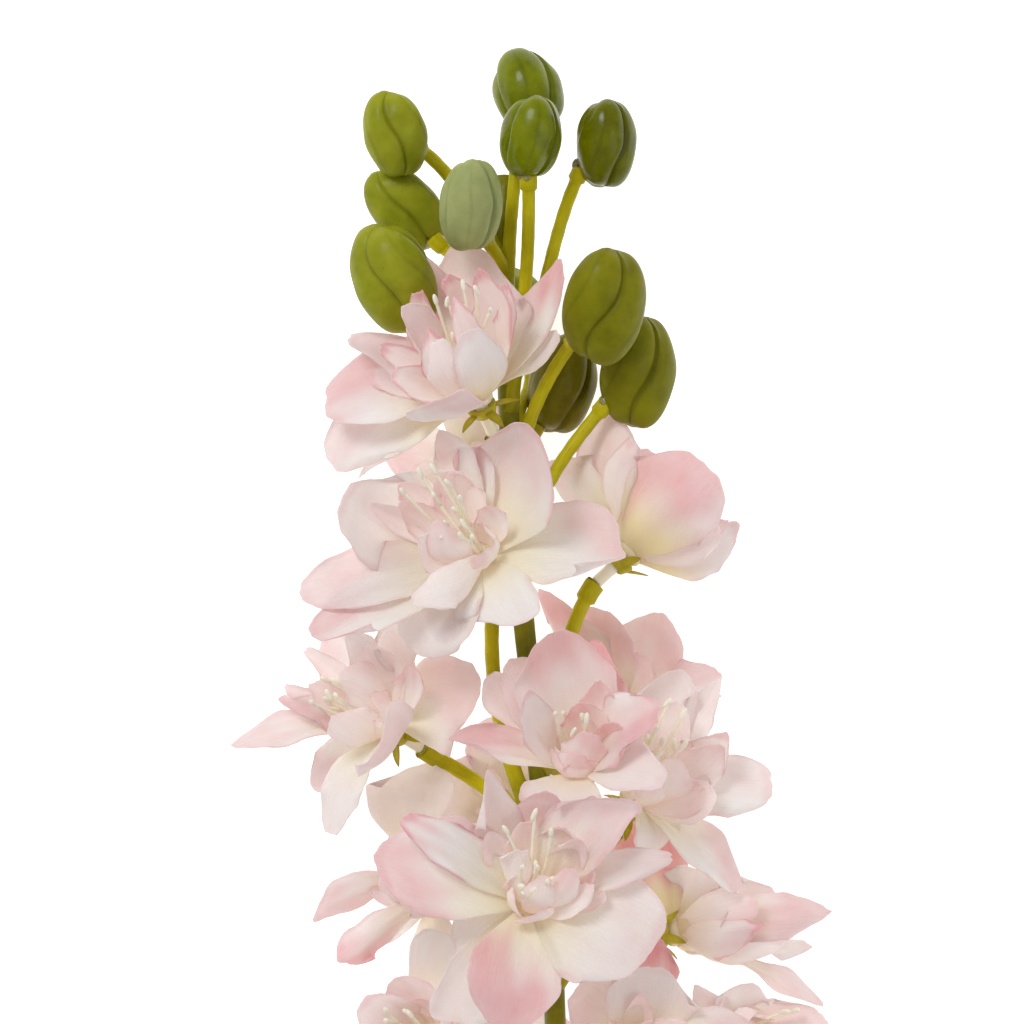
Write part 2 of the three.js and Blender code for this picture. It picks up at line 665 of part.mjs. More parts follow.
// The petals on their ring.
function petalsSolid(bloom) {
  const ring = post(bloom.at, bloom.faces, RING.bottom, RING.top, RING.radius, RING.radius, RING.sides);
  const bladeOf = (petal, form) => blade(petalGrid(bloom, petal, form), form.thickness);
  const outer = bloom.outer.map((petal) => bladeOf(petal, OUTER_PETAL));
  const heart = bloom.heart.map((petal) => bladeOf(petal, INNER_PETAL));
  return join([ring, ...outer, ...heart]);
}

// The pale shaft through the bloom, from its foot in the stalk's socket to the stamens on its head.
function stamensSolid(bloom, grow) {
  const { at, faces } = bloom;
  const headTop = SHAFT.top + STAMEN_HEAD.height;
  const shaft = turned(at, faces, SHAFT.sides, [
    [SHAFT.bottom, SHAFT.radius + grow],
    [SHAFT.top, SHAFT.radius + grow],
    [SHAFT.top, STAMEN_HEAD.radius + grow],
    [headTop, 1.8 + grow],
  ]);
  const random = seeded(bloom.seed + 500);
  const threads = Array.from({ length: STAMENS.count }, (_, i) => {
    const turn = ((i + 0.4 * random()) / STAMENS.count) * 2 * Math.PI;
    const foot = turnedTip(bloom, turn, Math.PI / 2, 1.1).add(at).addScaledVector(faces, headTop - 0.5);
    const lean = radians(STAMENS.spread * (0.4 + 0.6 * random()));
    const reach = turnedTip(bloom, turn, lean, STAMENS.length * (0.75 + 0.25 * random()));
    const tip = foot.clone().add(reach);
    tip.z = Math.max(tip.z, 1 + STAMENS.tipRadius);
    return rod([foot, tip], [STAMENS.radius + grow, STAMENS.tipRadius + grow], STAMENS.sides);
  });
  return join([shaft, ...threads]);
}

// The green cup under the petals, drawn out into narrow pointed sepals. Its section is carried round
// the shaft, and drawn out, thinned and bent up or down at each sepal.
function calyxSolid(bloom, grow) {
  const reach = CALYX.radius + grow;
  const hole = SHAFT.radius + CLEARANCE / Math.cos(Math.PI / SEPALS.count / 2) + 0.1 - grow;
  const step = Math.asin((SEPALS.width / 2 + grow) / reach);
  const [top, bottom] = [CALYX.top + grow, CALYX.bottom - grow];
  const point = reach + Math.sin(radians(bloom.sepals)) * SEPALS.length + 2 * grow;
  const pointTop = top + Math.cos(radians(bloom.sepals)) * SEPALS.length;
  const pointBottom = pointTop - SEPALS.thickness - 2 * grow;
  const cup = [[reach, top], [reach * CALYX.taper, bottom]];
  const sepal = [[point, pointTop], [point, pointBottom]];
  const section = (turn, outer) => {
    return [[hole, top], ...outer, [hole, bottom]].map(([radius, height]) =>
      turnedTip(bloom, turn, Math.PI / 2, radius).add(bloom.at).addScaledVector(bloom.faces, height),
    );
  };
  const sections = Array.from({ length: SEPALS.count }, (_, i) => {
    const turn = ((i + 0.5) / SEPALS.count) * 2 * Math.PI;
    return [section(turn - step, cup), section(turn, sepal), section(turn + step, cup)];
  });
  return loft(sections.flat(), true);
}

function bloomStalk(bloom, grow) {
  const end = bloom.at.clone().addScaledVector(bloom.faces, SHAFT.bottom - CLEARANCE);
  return stalk(bloom, end, bloom.faces, STALK, grow);
}

// ---------------------------------------------------------------- assembly

BLOOMS.forEach((bloom, i) => {
  bloom.at = vec(...bloom.at);
  bloom.faces = vec(...bloom.faces).normalize();
  bloom.bow = vec(...(bloom.bow ?? [0, 0, 0]));
  bloom.seed = 101 + 37 * i;
  const away = bloom.at.clone().sub(stemPoint(bloom.at.y));
  bloom.side = vec(away.x, 0, away.z).normalize();
});
for (const bloom of BLOOMS) {
  const random = seeded(bloom.seed);
  bloom.planes = boundsOf(bloom);
  bloom.outer = outerPetals(bloom, random);
  bloom.heart = heartPetals(random, bloom);
}
for (const bud of BUDS) {
  bud.centre = vec(...bud.centre);
  bud.stalk = vec(...bud.stalk);
  bud.axis = vec(...bud.axis).normalize();
  bud.bow = vec(...(bud.bow ?? [0, 0, 0]));
}

// The main stem with every side stalk, moulded as one.
function stemSolid(grow) {
  return join([
    mainStem(grow),
    ...BLOOMS.map((bloom) => bloomStalk(bloom, grow)),
    ...BUDS.map((bud) => budStalk(bud, grow)),
  ]);
}

// What would reach under the surface is cut off flat there.
const onSurface = (solid) => solid.trimByPlane([0, 0, 1], 0);

// Each bud is seated in the end of its stalk.
function seatedStem() {
  return BUDS.reduce((stem, bud) => stem.subtract(budSolid(bud, CLEARANCE)), stemSolid(0));
}

const widerStem = stemSolid(CLEARANCE);
const firm = [
  widerStem,
  ...BUDS.map((bud) => budSolid(bud, CLEARANCE)),
  ...BLOOMS.map((bloom) => calyxSolid(bloom, CLEARANCE)),
  ...BLOOMS.map((bloom) => stamensSolid(bloom, CLEARANCE)),
];

// Sepals give way to the stem and its stalks.
const fittedCalyx = (bloom) => mainBody(calyxSolid(bloom, 0).subtract(widerStem));

// Petals give way to every firm piece.
function fittedPetals(bloom) {
  const cut = firm.reduce((petals, piece) => petals.subtract(piece), petalsSolid(bloom));
  return mainBody(onSurface(cut));
}

const materials = {};
for (const [name, color] of Object.entries(COLOURS)) {
  const roughness = name === "petals" ? 0.8 : 0.45;
  materials[name] = new THREE.MeshStandardMaterial({ name, color, roughness, metalness: 0 });
}

const spray = new THREE.Group();
spray.add(meshOf("stem", onSurface(seatedStem()), materials.stem));
for (const bud of BUDS) spray.add(meshOf(bud.name, onSurface(budSolid(bud, 0)), materials.bud));
for (const bloom of BLOOMS) {
  spray.add(meshOf(`${bloom.name}_petals`, fittedPetals(bloom), materials.petals));
  spray.add(meshOf(`${bloom.name}_calyx`, fittedCalyx(bloom), materials.calyx));
  spray.add(meshOf(`${bloom.name}_stamens`, stamensSolid(bloom, 0), materials.stamens));
}

// The origin is under the middle of the whole.
const box = new THREE.Box3().setFromObject(spray, true);
spray.position.set(-(box.min.x + box.max.x) / 2, -(box.min.y + box.max.y) / 2, -box.min.z);

export default spray;
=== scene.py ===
"""An artificial delphinium stem on a pale surface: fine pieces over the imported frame.

Shapes are worked out in millimetres along the stem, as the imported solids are, and moved to the
frame in metres at the end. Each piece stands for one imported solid. The stem, stalks, buds, calyxes
and stamens keep the solids' places. The petals keep their blooms' places and are fitted to the
photo more closely than the solids' plain blades.
"""

import math

import bpy
import numpy as np
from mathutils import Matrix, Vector


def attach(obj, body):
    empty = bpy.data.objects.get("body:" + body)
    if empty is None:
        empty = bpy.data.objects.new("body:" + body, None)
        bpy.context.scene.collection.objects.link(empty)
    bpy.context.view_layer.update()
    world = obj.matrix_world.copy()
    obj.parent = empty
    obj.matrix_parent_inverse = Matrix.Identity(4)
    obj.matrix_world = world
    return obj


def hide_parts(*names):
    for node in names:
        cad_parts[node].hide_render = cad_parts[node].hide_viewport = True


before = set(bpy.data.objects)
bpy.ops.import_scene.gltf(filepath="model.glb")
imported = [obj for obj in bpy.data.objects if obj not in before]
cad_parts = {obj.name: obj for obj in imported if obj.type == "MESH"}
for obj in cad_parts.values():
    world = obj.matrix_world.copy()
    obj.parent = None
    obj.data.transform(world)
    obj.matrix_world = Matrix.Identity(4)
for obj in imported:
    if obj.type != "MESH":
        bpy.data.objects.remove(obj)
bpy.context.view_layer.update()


class Row(dict):
    """Named values: row.width reads the value named width."""

    __getattr__ = dict.__getitem__


# ---- dimensions, in mm and degrees

FULL_TURN = 2 * math.pi
SHIFT = np.array([-4.750, 94.339, 0])  # from the stem's own place to the frame's
CLEARANCE = 0.35  # round the shaft where it goes through a calyx, and between its end and the stalk

STEM = Row(radius=2.7, top_radius=2.2, foot=-300, top=81, foot_height=2.4, crest=-20, crest_height=46)
SWAY = Row(start=-2.5, by=7.2, middle=-45, over=70)

STALK = Row(radius=1.75, root=2.3, socket=2.5, socket_length=5)
BUD_STALK = Row(radius=1.55, root=2, socket=2.1, socket_length=4)
FLARE = Row(height=0.5, over=3.5)  # of a stalk, where it leaves the stem
# The socket at a stalk's end: bevel, wall and floor are how much narrower each next ring is.
SOCKET = Row(lip=0.25, bevel=0.22, wall=0.75, floor=0.9, depth=0.9)

SHAFT = Row(radius=1.5, bottom=-10.5, top=2.3, head=0.9)
STAMENS = Row(count=5, length=19, radius=0.5, tip_radius=0.8, spread=12)
ANTHER = (0, 0, 1)  # the surface value that the anthers' paint follows
CALYX = Row(bottom=-5, top=-1.85, radius=3.7, sides=40)
SEPALS = Row(count=5, length=8, half_width=1.15, thickness=0.55)

# Outer petals, inner petals, and the inner ones listed one by one. The shares base, widest and tip give
# a petal's width along it. The last three numbers set its mesh and its finish.
OUTER = Row(
    thickness=0.32, base=0.22, widest=0.62, tip=0.8, round=0.26, cup=0.12, wave=1.1, ragged=0.02,
    root_radius=2.6, root_height=0.2, rows=32, columns=23, slot=0,
)
INNER = Row(
    thickness=0.26, base=0.34, widest=0.6, tip=0.8, round=0.26, cup=0.22, wave=0.4, ragged=0.035,
    rows=19, columns=15, slot=1,
)
PLACED = Row(INNER, cup=0.3, root_radius=2.8, root_height=0.9)
FRAY = 0.16  # how much the cut edges go in and out
FACING = 0.75  # how far the listed inner petals turn their broad sides up

# Petals that a rule sets round a bloom: a plain ring, one pressed on the surface, and inner whorls.
PLAIN_RING = Row(count=6, length=29, width=20, open=74, arch=0.04)
PRESSED_RING = Row(count=5, length=28, width=19, open=50, arch=-0.06)
WIDEST_GAP = 96  # between two listed petals; the rule fills wider ones
HEART = Row(count=5, length=16, width=9, open=27, range=14, arch=-0.16, root_radius=3.5, root_height=1)
HEART_CUT = 0.72  # of the heart's length, where listed petals stand round it
WHORLS = [
    Row(count=6, length=17, width=9.5, open=44, range=30, arch=-0.12, root_radius=3.2, root_height=0.6),
    Row(count=5, length=14, width=8, open=16, range=22, arch=-0.22, root_radius=2.6, root_height=1.2),
]
JOIN_PROFILE = [
    (-1.4, 1.9), (-1.3, 2.9), (-0.6, 3.5), (0.4, 3.7), (1.2, 3.4), (1.7, 2.7), (1.9, 1.9),
]

# The ranges that each petal's own form is drawn from, in the order of the draws.
OUTER_RANGES = Row(
    fold=(0, 1), phase=(0, 6), twist=(-1.8, 4.2), lean=(-0.25, 0.25), point=(1.6, 2.5),
    notch=(-0.025, 0.025), gutter=(-0.09, 0.21), ruffle=(0.3, 1), ruffles=(7, 14), corner=(1, -1),
    tip_curl=(-0.072, 0.088), pleat=(0.15, 0.45), pleats=(4, 9), swell=(-0.55, 0.55),
    layer=(-0.35, 0.35), side_dye=(-1, 1), dye_from=(0.15, 0.45), rim_dye=(0, 1),
)
INNER_RANGES = Row(
    phase=(0, 6), twist=(-3, 3), lean=(-0.25, 0.25), point=(1.5, 2.3), notch=(0, 0.05),
    gutter=(-0.06, 0.24), ruffle=(0.2, 0.65), ruffles=(7, 13), corner=(1, -1), fold=(-0.05, 0.05),
    tip_curl=(-0.042, 0.098), pleat=(0.08, 0.2), pleats=(3, 6), swell=(-0.25, 0.25),
    layer=(-0.15, 0.15), side_dye=(-1, 1), tip_dye=(0.15, 0.55), dye_from=(0.3, 0.55),
    rim_dye=(0.1, 0.45),
)

PRESS_DEPTH = -1.05  # how deep a petal's free curve may dip before the surface flattens it
FLOOR_GAP = 0.25  # the least height of a petal's middle layer
# Blooms stand within neighbours of each other, measured between points at reach from their joins.
# A boundary keeps a gap free and starts to bend petals at ease from it. Layering lays the
# boundaries more level, so that blooms lie over each other.
SPACE = Row(reach=10, gap=0.8, ease=3, neighbours=95, layering=3.5)
# A bud's lobes stand off its axis by offset and behind each other by lag, both of its width.
BUD = Row(offset=0.14, lag=0.05, power=16, fullness=1.06)

# Each bloom: its place and the way it faces, where its stalk leaves the stem (joint), how far its
# sepals open, its share of the room between blooms, its pink and its yellow.
# petals: tip x, y, z from the join, width, arch, twist, dye, and what sets the petal apart.
# hearts: the inner petals that the photo shows: tip, width, arch, pink, rim, and for some the side
# of the bloom they are rooted at, in degrees from +X, where that isn't the tip's side.
# threads: tips of the threads that the photo shows.
BLOOM_DEFAULTS = Row(
    room=1, blush=0.15, yellow=0.7, fill=True, hearts=(), threads=(), thread_share=1,
)
BLOOMS = [
  Row(name="crown", at=(-8, 27, 56), faces=(-0.33, 0.8, 0.5), joint=-12, sepals=94, room=1.8,
    blush=0.04, yellow=0.9,
    petals=[
      (-37, -1, 4, 22, 0.12, -45, 0.6, Row(lean=0.2, point=2.8)),
      (-35, -17, -2, 22, 0.12, -50, 0.3, Row(lean=0, point=2.4)),
      (-27, -20, -10, 15, 0.1, 0, 0.15),
      (-31.2, 13.5, 8, 13, 0.05, -30, 0.3),
      (-19, 20, 16, 11, 0.05, -60, 0.3),
      (-13.5, 34.5, -10, 13, 0, 0, 0.5, Row(lean=0, point=1.15)),
      (-0.5, 38, -6, 25, -0.1, 0, 0.35, Row(lean=0.3, point=2.2)),
      (18, 34, -2, 13.5, -0.06, 35, 0.8, Row(lean=-0.55, point=1.2, rim_dye=0.5)),
      (21.5, 16.5, -6, 10.5, 0.05, 35, 0.2, Row(lean=-0.2, point=1.2)),
      (-2, 15.5, 24, 13, -0.16, 0, 0.04),
    ],
    hearts=[
      (-14, 25, 12, 9, -0.16, 0.3, 1), (-8.5, 29, 15, 9, -0.14, 0.3, 1), (-0.5, 30, 15, 10, -0.1, 0.25, 1),
      (-6, 22, 21, 7, -0.1, 0.3, 0.8), (-12, 15.5, 21, 9, -0.14, 0.1, 0.9),
      (-23, 11, 13, 8, 0.02, 0.15, 0.9), (-21, 5, 17, 9, 0, 0.1, 0.8), (-27, 5, 6, 9, 0.05, 0.2, 0.5),
      (6, 27, 12, 5.5, -0.08, 0.4, 1), (-10, 13, 24, 10, -0.14, 0.05, 0.1),
    ],
    threads=[(-10, 23, 14), (-7, 22.5, 16), (-3.5, 26.5, 15), (-0.5, 25, 17), (3, 20, 17)]),
  Row(name="left_high", at=(-7.5, -10.5, 60), faces=(-0.35, 0.42, 0.84), joint=-78, sepals=115,
    room=2, bow=(-11, 0, 6), blush=0.03,
    petals=[
      (11.5, 31.5, 16, 30, -0.12, 0, 0.4, Row(lean=0.1, point=2.1, tip_curl=0.02, rim_dye=0.6)),
      (35, 1.5, 4, 23, 0.08, 0, 0.5, Row(lean=0.15, point=3, tip_curl=0)),
      (-10, 36, 8, 10.5, -0.04, 0, 0.35),
      (-32, 17, 12, 27, -0.14, 0, 0.15,
        Row(lean=0.4, point=2.4, tip_curl=0.03, fold=0, swell=0, ruffle=0.2)),
      (-42.5, -11, 6, 16.5, 0.08, -15, 0.4),
      (-40.5, -21.5, 11, 18, 0.06, 10, 0.55),
      (-16, -23, 6, 22, 0.1, -20, 0.15),
      (-1, 31, 2, 9, 0, 0, 0.6),
      (-9, -20, 8, 14, 0.05, 0, 0.05),
      (8, -19.5, 12, 20, 0.1, 0, 0.1, Row(lean=0.65, point=1.2)),
    ],
    hearts=[
      (-27, 13, 8, 6.5, -0.06, 0.15, 0.2), (-20, 13.5, 11, 8.5, -0.08, 0.4, 0.25),
      (-19, 18.5, 7, 10, -0.08, 0.5, 0.2), (-10.5, 20, 10, 12, -0.12, 0.25, 0.15),
      (-7, 21, 9, 10, -0.1, 0.3, 0.2), (0, 12, 13, 9, -0.14, 0.65, 0.25),
      (-9.5, 8.5, 17, 9, -0.16, 0.4, 0.2, -100), (-15, 5, 15, 10, -0.12, 0.15, 0.2, -130),
      (-15.5, -9.7, 21, 10, -0.1, 0.1, 0.15, -30),
    ],
    threads=[(-18, 15.5, 16), (-14, 20, 15), (-11, 21, 15), (-7.5, 17.5, 18), (-4.5, 14, 20)]),
  Row(name="right_high", at=(28, -10, 42), faces=(0.74, 0.66, -0.15), joint=-54, sepals=50, fill=False,
    bow=(4, 0, 0), blush=0.08, yellow=1.3,
    petals=[
      (-4, 34.5, -2, 23, -0.1, 45, 0.3),
      (5, 25.5, -16, 14, -0.08, -30, 0.6),
      (15.5, 24, 14, 30, -0.12, 0, 0.62,
        Row(lean=0.3, point=2.6, fold=0, tip_curl=0.02, dye_from=0.1, side_dye=-1)),
      (27.5, 6.5, 6, 14, -0.14, -50, 0.1, Row(lean=-0.2, point=1.3)),
      (19, 14, -19, 15, -0.1, 0, 0.3),
      (-20.5, 22, -10, 21, 0.05, 30, 0.3),
    ],
    hearts=[
      (20, 12, 13, 13, -0.12, 0.15, 0.3), (23, 9, 10, 7, -0.12, 0.4, 0.6), (22, 6, 12, 10, -0.12, 0.1, 0.2),
      (0.5, 28, 8, 10, -0.08, 0.25, 0.5),
    ]),
  Row(name="left_mid", at=(-29.5, -51.5, 50), faces=(-0.72, 0.48, 0.5), joint=-80, sepals=110, room=1.6,
    blush=0.05,
    petals=[
      (21.5, 5, 0, 25, 0.1, 50, 0.4, Row(lean=0.35, point=1.7)),
      (-37, -3.2, 8, 9.5, 0.1, -20, 0.35, Row(lean=0, point=1.8)),
      (-25, 7.5, 8, 11, 0, 0, 0.5),
      (-13.5, -25.5, 6, 10.5, 0.12, -50, 0.1),
      (-18, -15.5, -8, 12, 0.08, -45, 0.4),
      (1, 30, 0, 12.5, -0.05, 40, 0.05),
      (-10, 21.5, 8, 12, -0.1, 45, 0.1),
    ],
    hearts=[
      (-11.5, 13.5, 12, 11, -0.12, 0.3, 0.15), (-18, 11.5, 9, 9, -0.08, 0.35, 0.2),
      (-6.5, 19.5, 8, 13, -0.1, 0.25, 0.15), (0, 23.5, 4, 11, -0.06, 0.05, 0.1),
      (-20.5, 19.5, 5, 6, -0.05, 0.15, 0.2), (-24.5, 10.5, 6, 6, -0.05, 0.3, 0.2),
      (-12, 4, 14, 11, -0.12, 0.2, 0.15), (6, 16.5, 12, 8, -0.08, 0.55, 0.5),
    ]),
  Row(name="front_mid", at=(16, -60.5, 62), faces=(-0.1, 0.68, 0.72), joint=-76, sepals=112, room=2.3,
    blush=0.15, yellow=0.5,
    petals=[
      (-5.5, 33, 4, 24.5, -0.12, 0, 0.6, Row(lean=0, point=2.3, tip_curl=0.03)),
      (18.5, 14, 18, 19, 0.12, 10, 0.6, Row(lean=0, point=2.6, rim_dye=0.5)),
      (-12.5, 19.5, 22, 10.5, -0.06, -60, 0.05),
      (-31, 7, 8, 10, 0.08, 0, 0.55),
      (-15, 27, -8, 17, 0, 0, 0.3),
      (19.5, -1, 22, 14, 0.14, 15, 0.15),
      (5.5, 30, -8, 17, -0.06, 0, 0.8),
      (-27, 24.5, -11, 12, 0.05, 0, 0.2),
    ],
    hearts=[
      (4, 23, 10, 9, -0.1, 0.45, 0.3), (-1, 16, 13, 12, -0.14, 0.8, 0.2),
      (1.5, 10.5, 16, 11, -0.14, 0.5, 0.2, -90), (8, 12, 13, 11, -0.12, 0.6, 0.3),
      (-1, 5, 14, 10, -0.14, 0.35, 0.2, -120),
    ]),
  Row(name="right_mid", at=(29, -68.5, 50), faces=(0.4, 0.76, 0.5), joint=-84, sepals=110, room=1.6,
    blush=0.04, fill=False,
    petals=[
      (33, 2.5, 2, 16.5, 0.06, 40, 0.2, Row(lean=0.1, point=4)),
      (24.5, -21.5, 5, 12.5, 0.06, 20, 0.45, Row(lean=0, point=3.4, fold=0, tip_curl=0)),
      (10, 32, 0, 19, -0.12, 0, 0.2),
      (5, -13, 2, 13, 0.1, 20, 0.1),
      (22, 17.5, 8, 13, -0.1, 40, 0.1),
      (-2, 26, -10, 14.5, -0.1, 0, 0.6),
      (22, 29, -4, 10, -0.05, 0, 0.15, Row(lean=0, point=1.1)),
    ],
    hearts=[
      (12, 24, 6, 14, -0.1, 0.2, 0.15), (1, 23, 8, 11, -0.12, 0.35, 0.2), (21, 13, 7, 12, -0.08, 0.25, 0.2),
      (19, 5, 11, 13, -0.12, 0.2, 0.15, -20), (10, 11, 14, 12, -0.14, 0.3, 0.15, -70),
      (18, 3, 9, 9, -0.08, 0.2, 0.2),
    ],
    threads=[(4.5, 23, 12), (8, 24, 12), (11.5, 21.5, 13)]),
  Row(name="front_low", at=(4, -91, 70), faces=(0.05, 0.38, 0.92), joint=-108, sepals=118, room=2,
    blush=0.04,
    petals=[
      (-35.5, 12.5, 6, 24, 0.12, -10, 0.6, Row(lean=0.1, point=2.2, side_dye=0.8)),
      (-19, -32, -3, 16, 0.12, 0, 0.05, Row(lean=0, point=2)),
      (-6, -29.5, 10, 22, 0.14, 0, 0.7, Row(lean=0, point=2, side_dye=-1, dye_from=0.05)),
      (28, -12.5, 6.5, 29.5, 0.12, 0, 0.2,
        Row(lean=0.15, point=3.6, tip_curl=0, fold=0.02, pleat=0.6, pleats=7, rim_dye=0.35)),
      (24, 32, 11, 17.5, 0.14, 0, 0.45, Row(lean=-0.45, point=1.5, fold=0.03)),
      (4.5, 31, 8, 17.5, -0.1, 0, 0.45),
      (-10, 31.5, 14, 12.5, -0.1, 0, 0.25),
      (33.5, 12.5, 8, 9, 0.08, 0, 0.3, Row(lean=0, point=3)),
      (-29, 21, 12, 12, 0.06, 0, 0.8, Row(lean=0.1, point=2.4, rim_dye=0.9, dye_from=0.6)),
      (-17.5, -11, -2, 15, 0.08, 0, 0.05),
    ],
    hearts=[
      (-1, 13.5, 13, 8.5, -0.12, 0.02, 0.1, 180), (9, 10, 14, 8.5, -0.14, 0.55, 0.2, -80),
      (14, 6, 12, 7.5, -0.12, 0.25, 0.2, -50), (18.5, 3, 8, 7, -0.08, 0.4, 0.2),
      (12, 17, 17, 8.5, -0.12, 0.35, 0.3), (8, 20.5, 15, 9.5, -0.14, 0.35, 0.25),
      (16, 9, 11, 6.5, -0.12, 0.45, 0.3), (-9, 18, 11, 8, -0.1, 0.3, 0.25),
      (-0.5, 20, 11, 11, -0.12, 0.3, 0.2), (-14, 19, 4, 9, -0.06, 0.5, 0.25),
      (4, 8, 15, 8, -0.14, 0.3, 0.2, -95),
    ],
    threads=[(1.3, 22, 13), (5, 18, 15), (-5.7, 18.5, 15)]),
  Row(name="left_low", at=(-17, -89.5, 44), faces=(-0.85, 0.22, 0.12), joint=-100, sepals=100,
    thread_share=0.6, room=1.15,
    petals=[
      (-3.5, 41, 6, 24, 0.16, 75, 0.08, Row(lean=0, point=2.4)),
      (-30.5, -9.5, 4, 11, 0.18, 70, 0.35, Row(lean=0, point=1.2)),
      (-23, -19.5, 12, 9, 0.05, 65, 0.6, Row(lean=0, point=2.6)),
      (4, -25, 6, 14, 0.1, -75, 0.05),
      (-13, 12, -22, 17, -0.05, 0, 0.2),
      (-15.5, -15, -26, 17, 0, 0, 0.2),
    ]),
  Row(name="right_low", at=(38.5, -101, 42), faces=(0.88, 0.05, -0.25), joint=-114, sepals=36, room=1.15,
    blush=0.06, yellow=1.1, fill=False,
    petals=[
      (39.5, 5.5, 2, 12, -0.08, 0, 0.5, Row(lean=0, point=1.1)),
      (33.5, -2.5, -7, 12, -0.1, 40, 0.1, Row(lean=0, point=2.6)),
      (37, -22, -2, 6, 0.1, -30, 0.3),
      # This petal's pink is partly dye and partly painted shade, standing for its back lying in shadow.
      (-12, 26, -7, 21, 0.05, 65, 0.95, Row(lean=0, point=2.2, dye_from=0.05, side_dye=0)),
      (19.5, 0, 12, 11, -0.05, 0, 0.6),
      (26, 9, -20, 14, -0.1, 0, 0.3),
      (14, 10, 8, 15, 0, 0, 0.05, Row(lean=0, point=2.6, tip_curl=0)),
      (5, 16, 4, 18, 0.1, 50, 0.1, Row(lean=0, point=2.4, tip_curl=0)),
    ],
    hearts=[
      (22, -0.5, 13, 12, -0.14, 0.35, 0.95), (27.5, -3, 4, 10, -0.1, 0.1, 0.2),
      (20, 8, 12, 11, -0.1, 0.45, 0.25),
    ]),
  Row(name="left_foot", at=(-18.5, -128, 55), faces=(-0.4, 0.5, 0.76), joint=-137, sepals=112, blush=0.06,
    petals=[
      (-17, 12.5, 11, 15, 0.05, -30, 0.3),
      (-9, 18, 6, 15, -0.05, 0, 0.4),
      (0.5, 38.5, 1, 17, -0.05, 0, 0.02, Row(lean=0.1, point=2)),
      (-20, -9, 10, 16, 0.05, -30, 0.3),
      (20, 10, 6, 17, 0, 0, 0.4),
      (2, -24, 10, 19, 0.05, 0, 0.4),
    ]),
  Row(name="front_foot", at=(30, -129.5, 62), faces=(0.3, 0.32, 0.9), joint=-144, sepals=114, blush=0.12,
    yellow=0.9, room=1.4,
    petals=[
      (3, 33.5, -3, 17, -0.08, 0, 0.95),
      (-16, 17, 2, 20, 0, 0, 0.3),
      (4, 23, 4, 23, -0.05, 0, 0.02),
    ]),
  Row(name="right_foot", at=(50.5, -129, 46), faces=(0.78, 0.34, 0.45), joint=-141, sepals=110, blush=0.06,
    yellow=1,
    petals=[
      (-7, 17, 10, 9, 0, -45, 0.3),
      (6, 17, 4, 16, 0, -30, 0.1),
      (24, 9, 2, 16, 0.05, 0, 0.4),
    ]),
  Row(name="back_high", at=(-9, 9, 18), faces=(-0.3, 0.1, -0.95), joint=-6, sepals=95, petals=[]),
  Row(name="back_right", at=(27, -49.5, 30), faces=(0.4, 0.7, -0.6), joint=-62, sepals=95,
    petals=[
      (-6, 27, 3, 20, -0.08, 0, 0.5),
      (9, 25, -2, 20, -0.08, 0, 0.4, Row(lean=0.1, point=1.6)),
      (24, 9.5, 4, 14, 0, 0, 0.4),
      (-19, 31, -4, 22, -0.05, 0, 0.7),
      (12, 0, -28.5, 16, 0.04, 0, 0.4),
    ]),
  Row(name="back_mid", at=(0.5, -74, 19.5), faces=(-0.42, 0.1, -0.9), joint=-84, sepals=95, petals=[]),
  Row(name="back_foot", at=(10, -142.5, 18), faces=(-0.15, -0.25, -0.95), joint=-132, sepals=95,
    petals=[]),
]

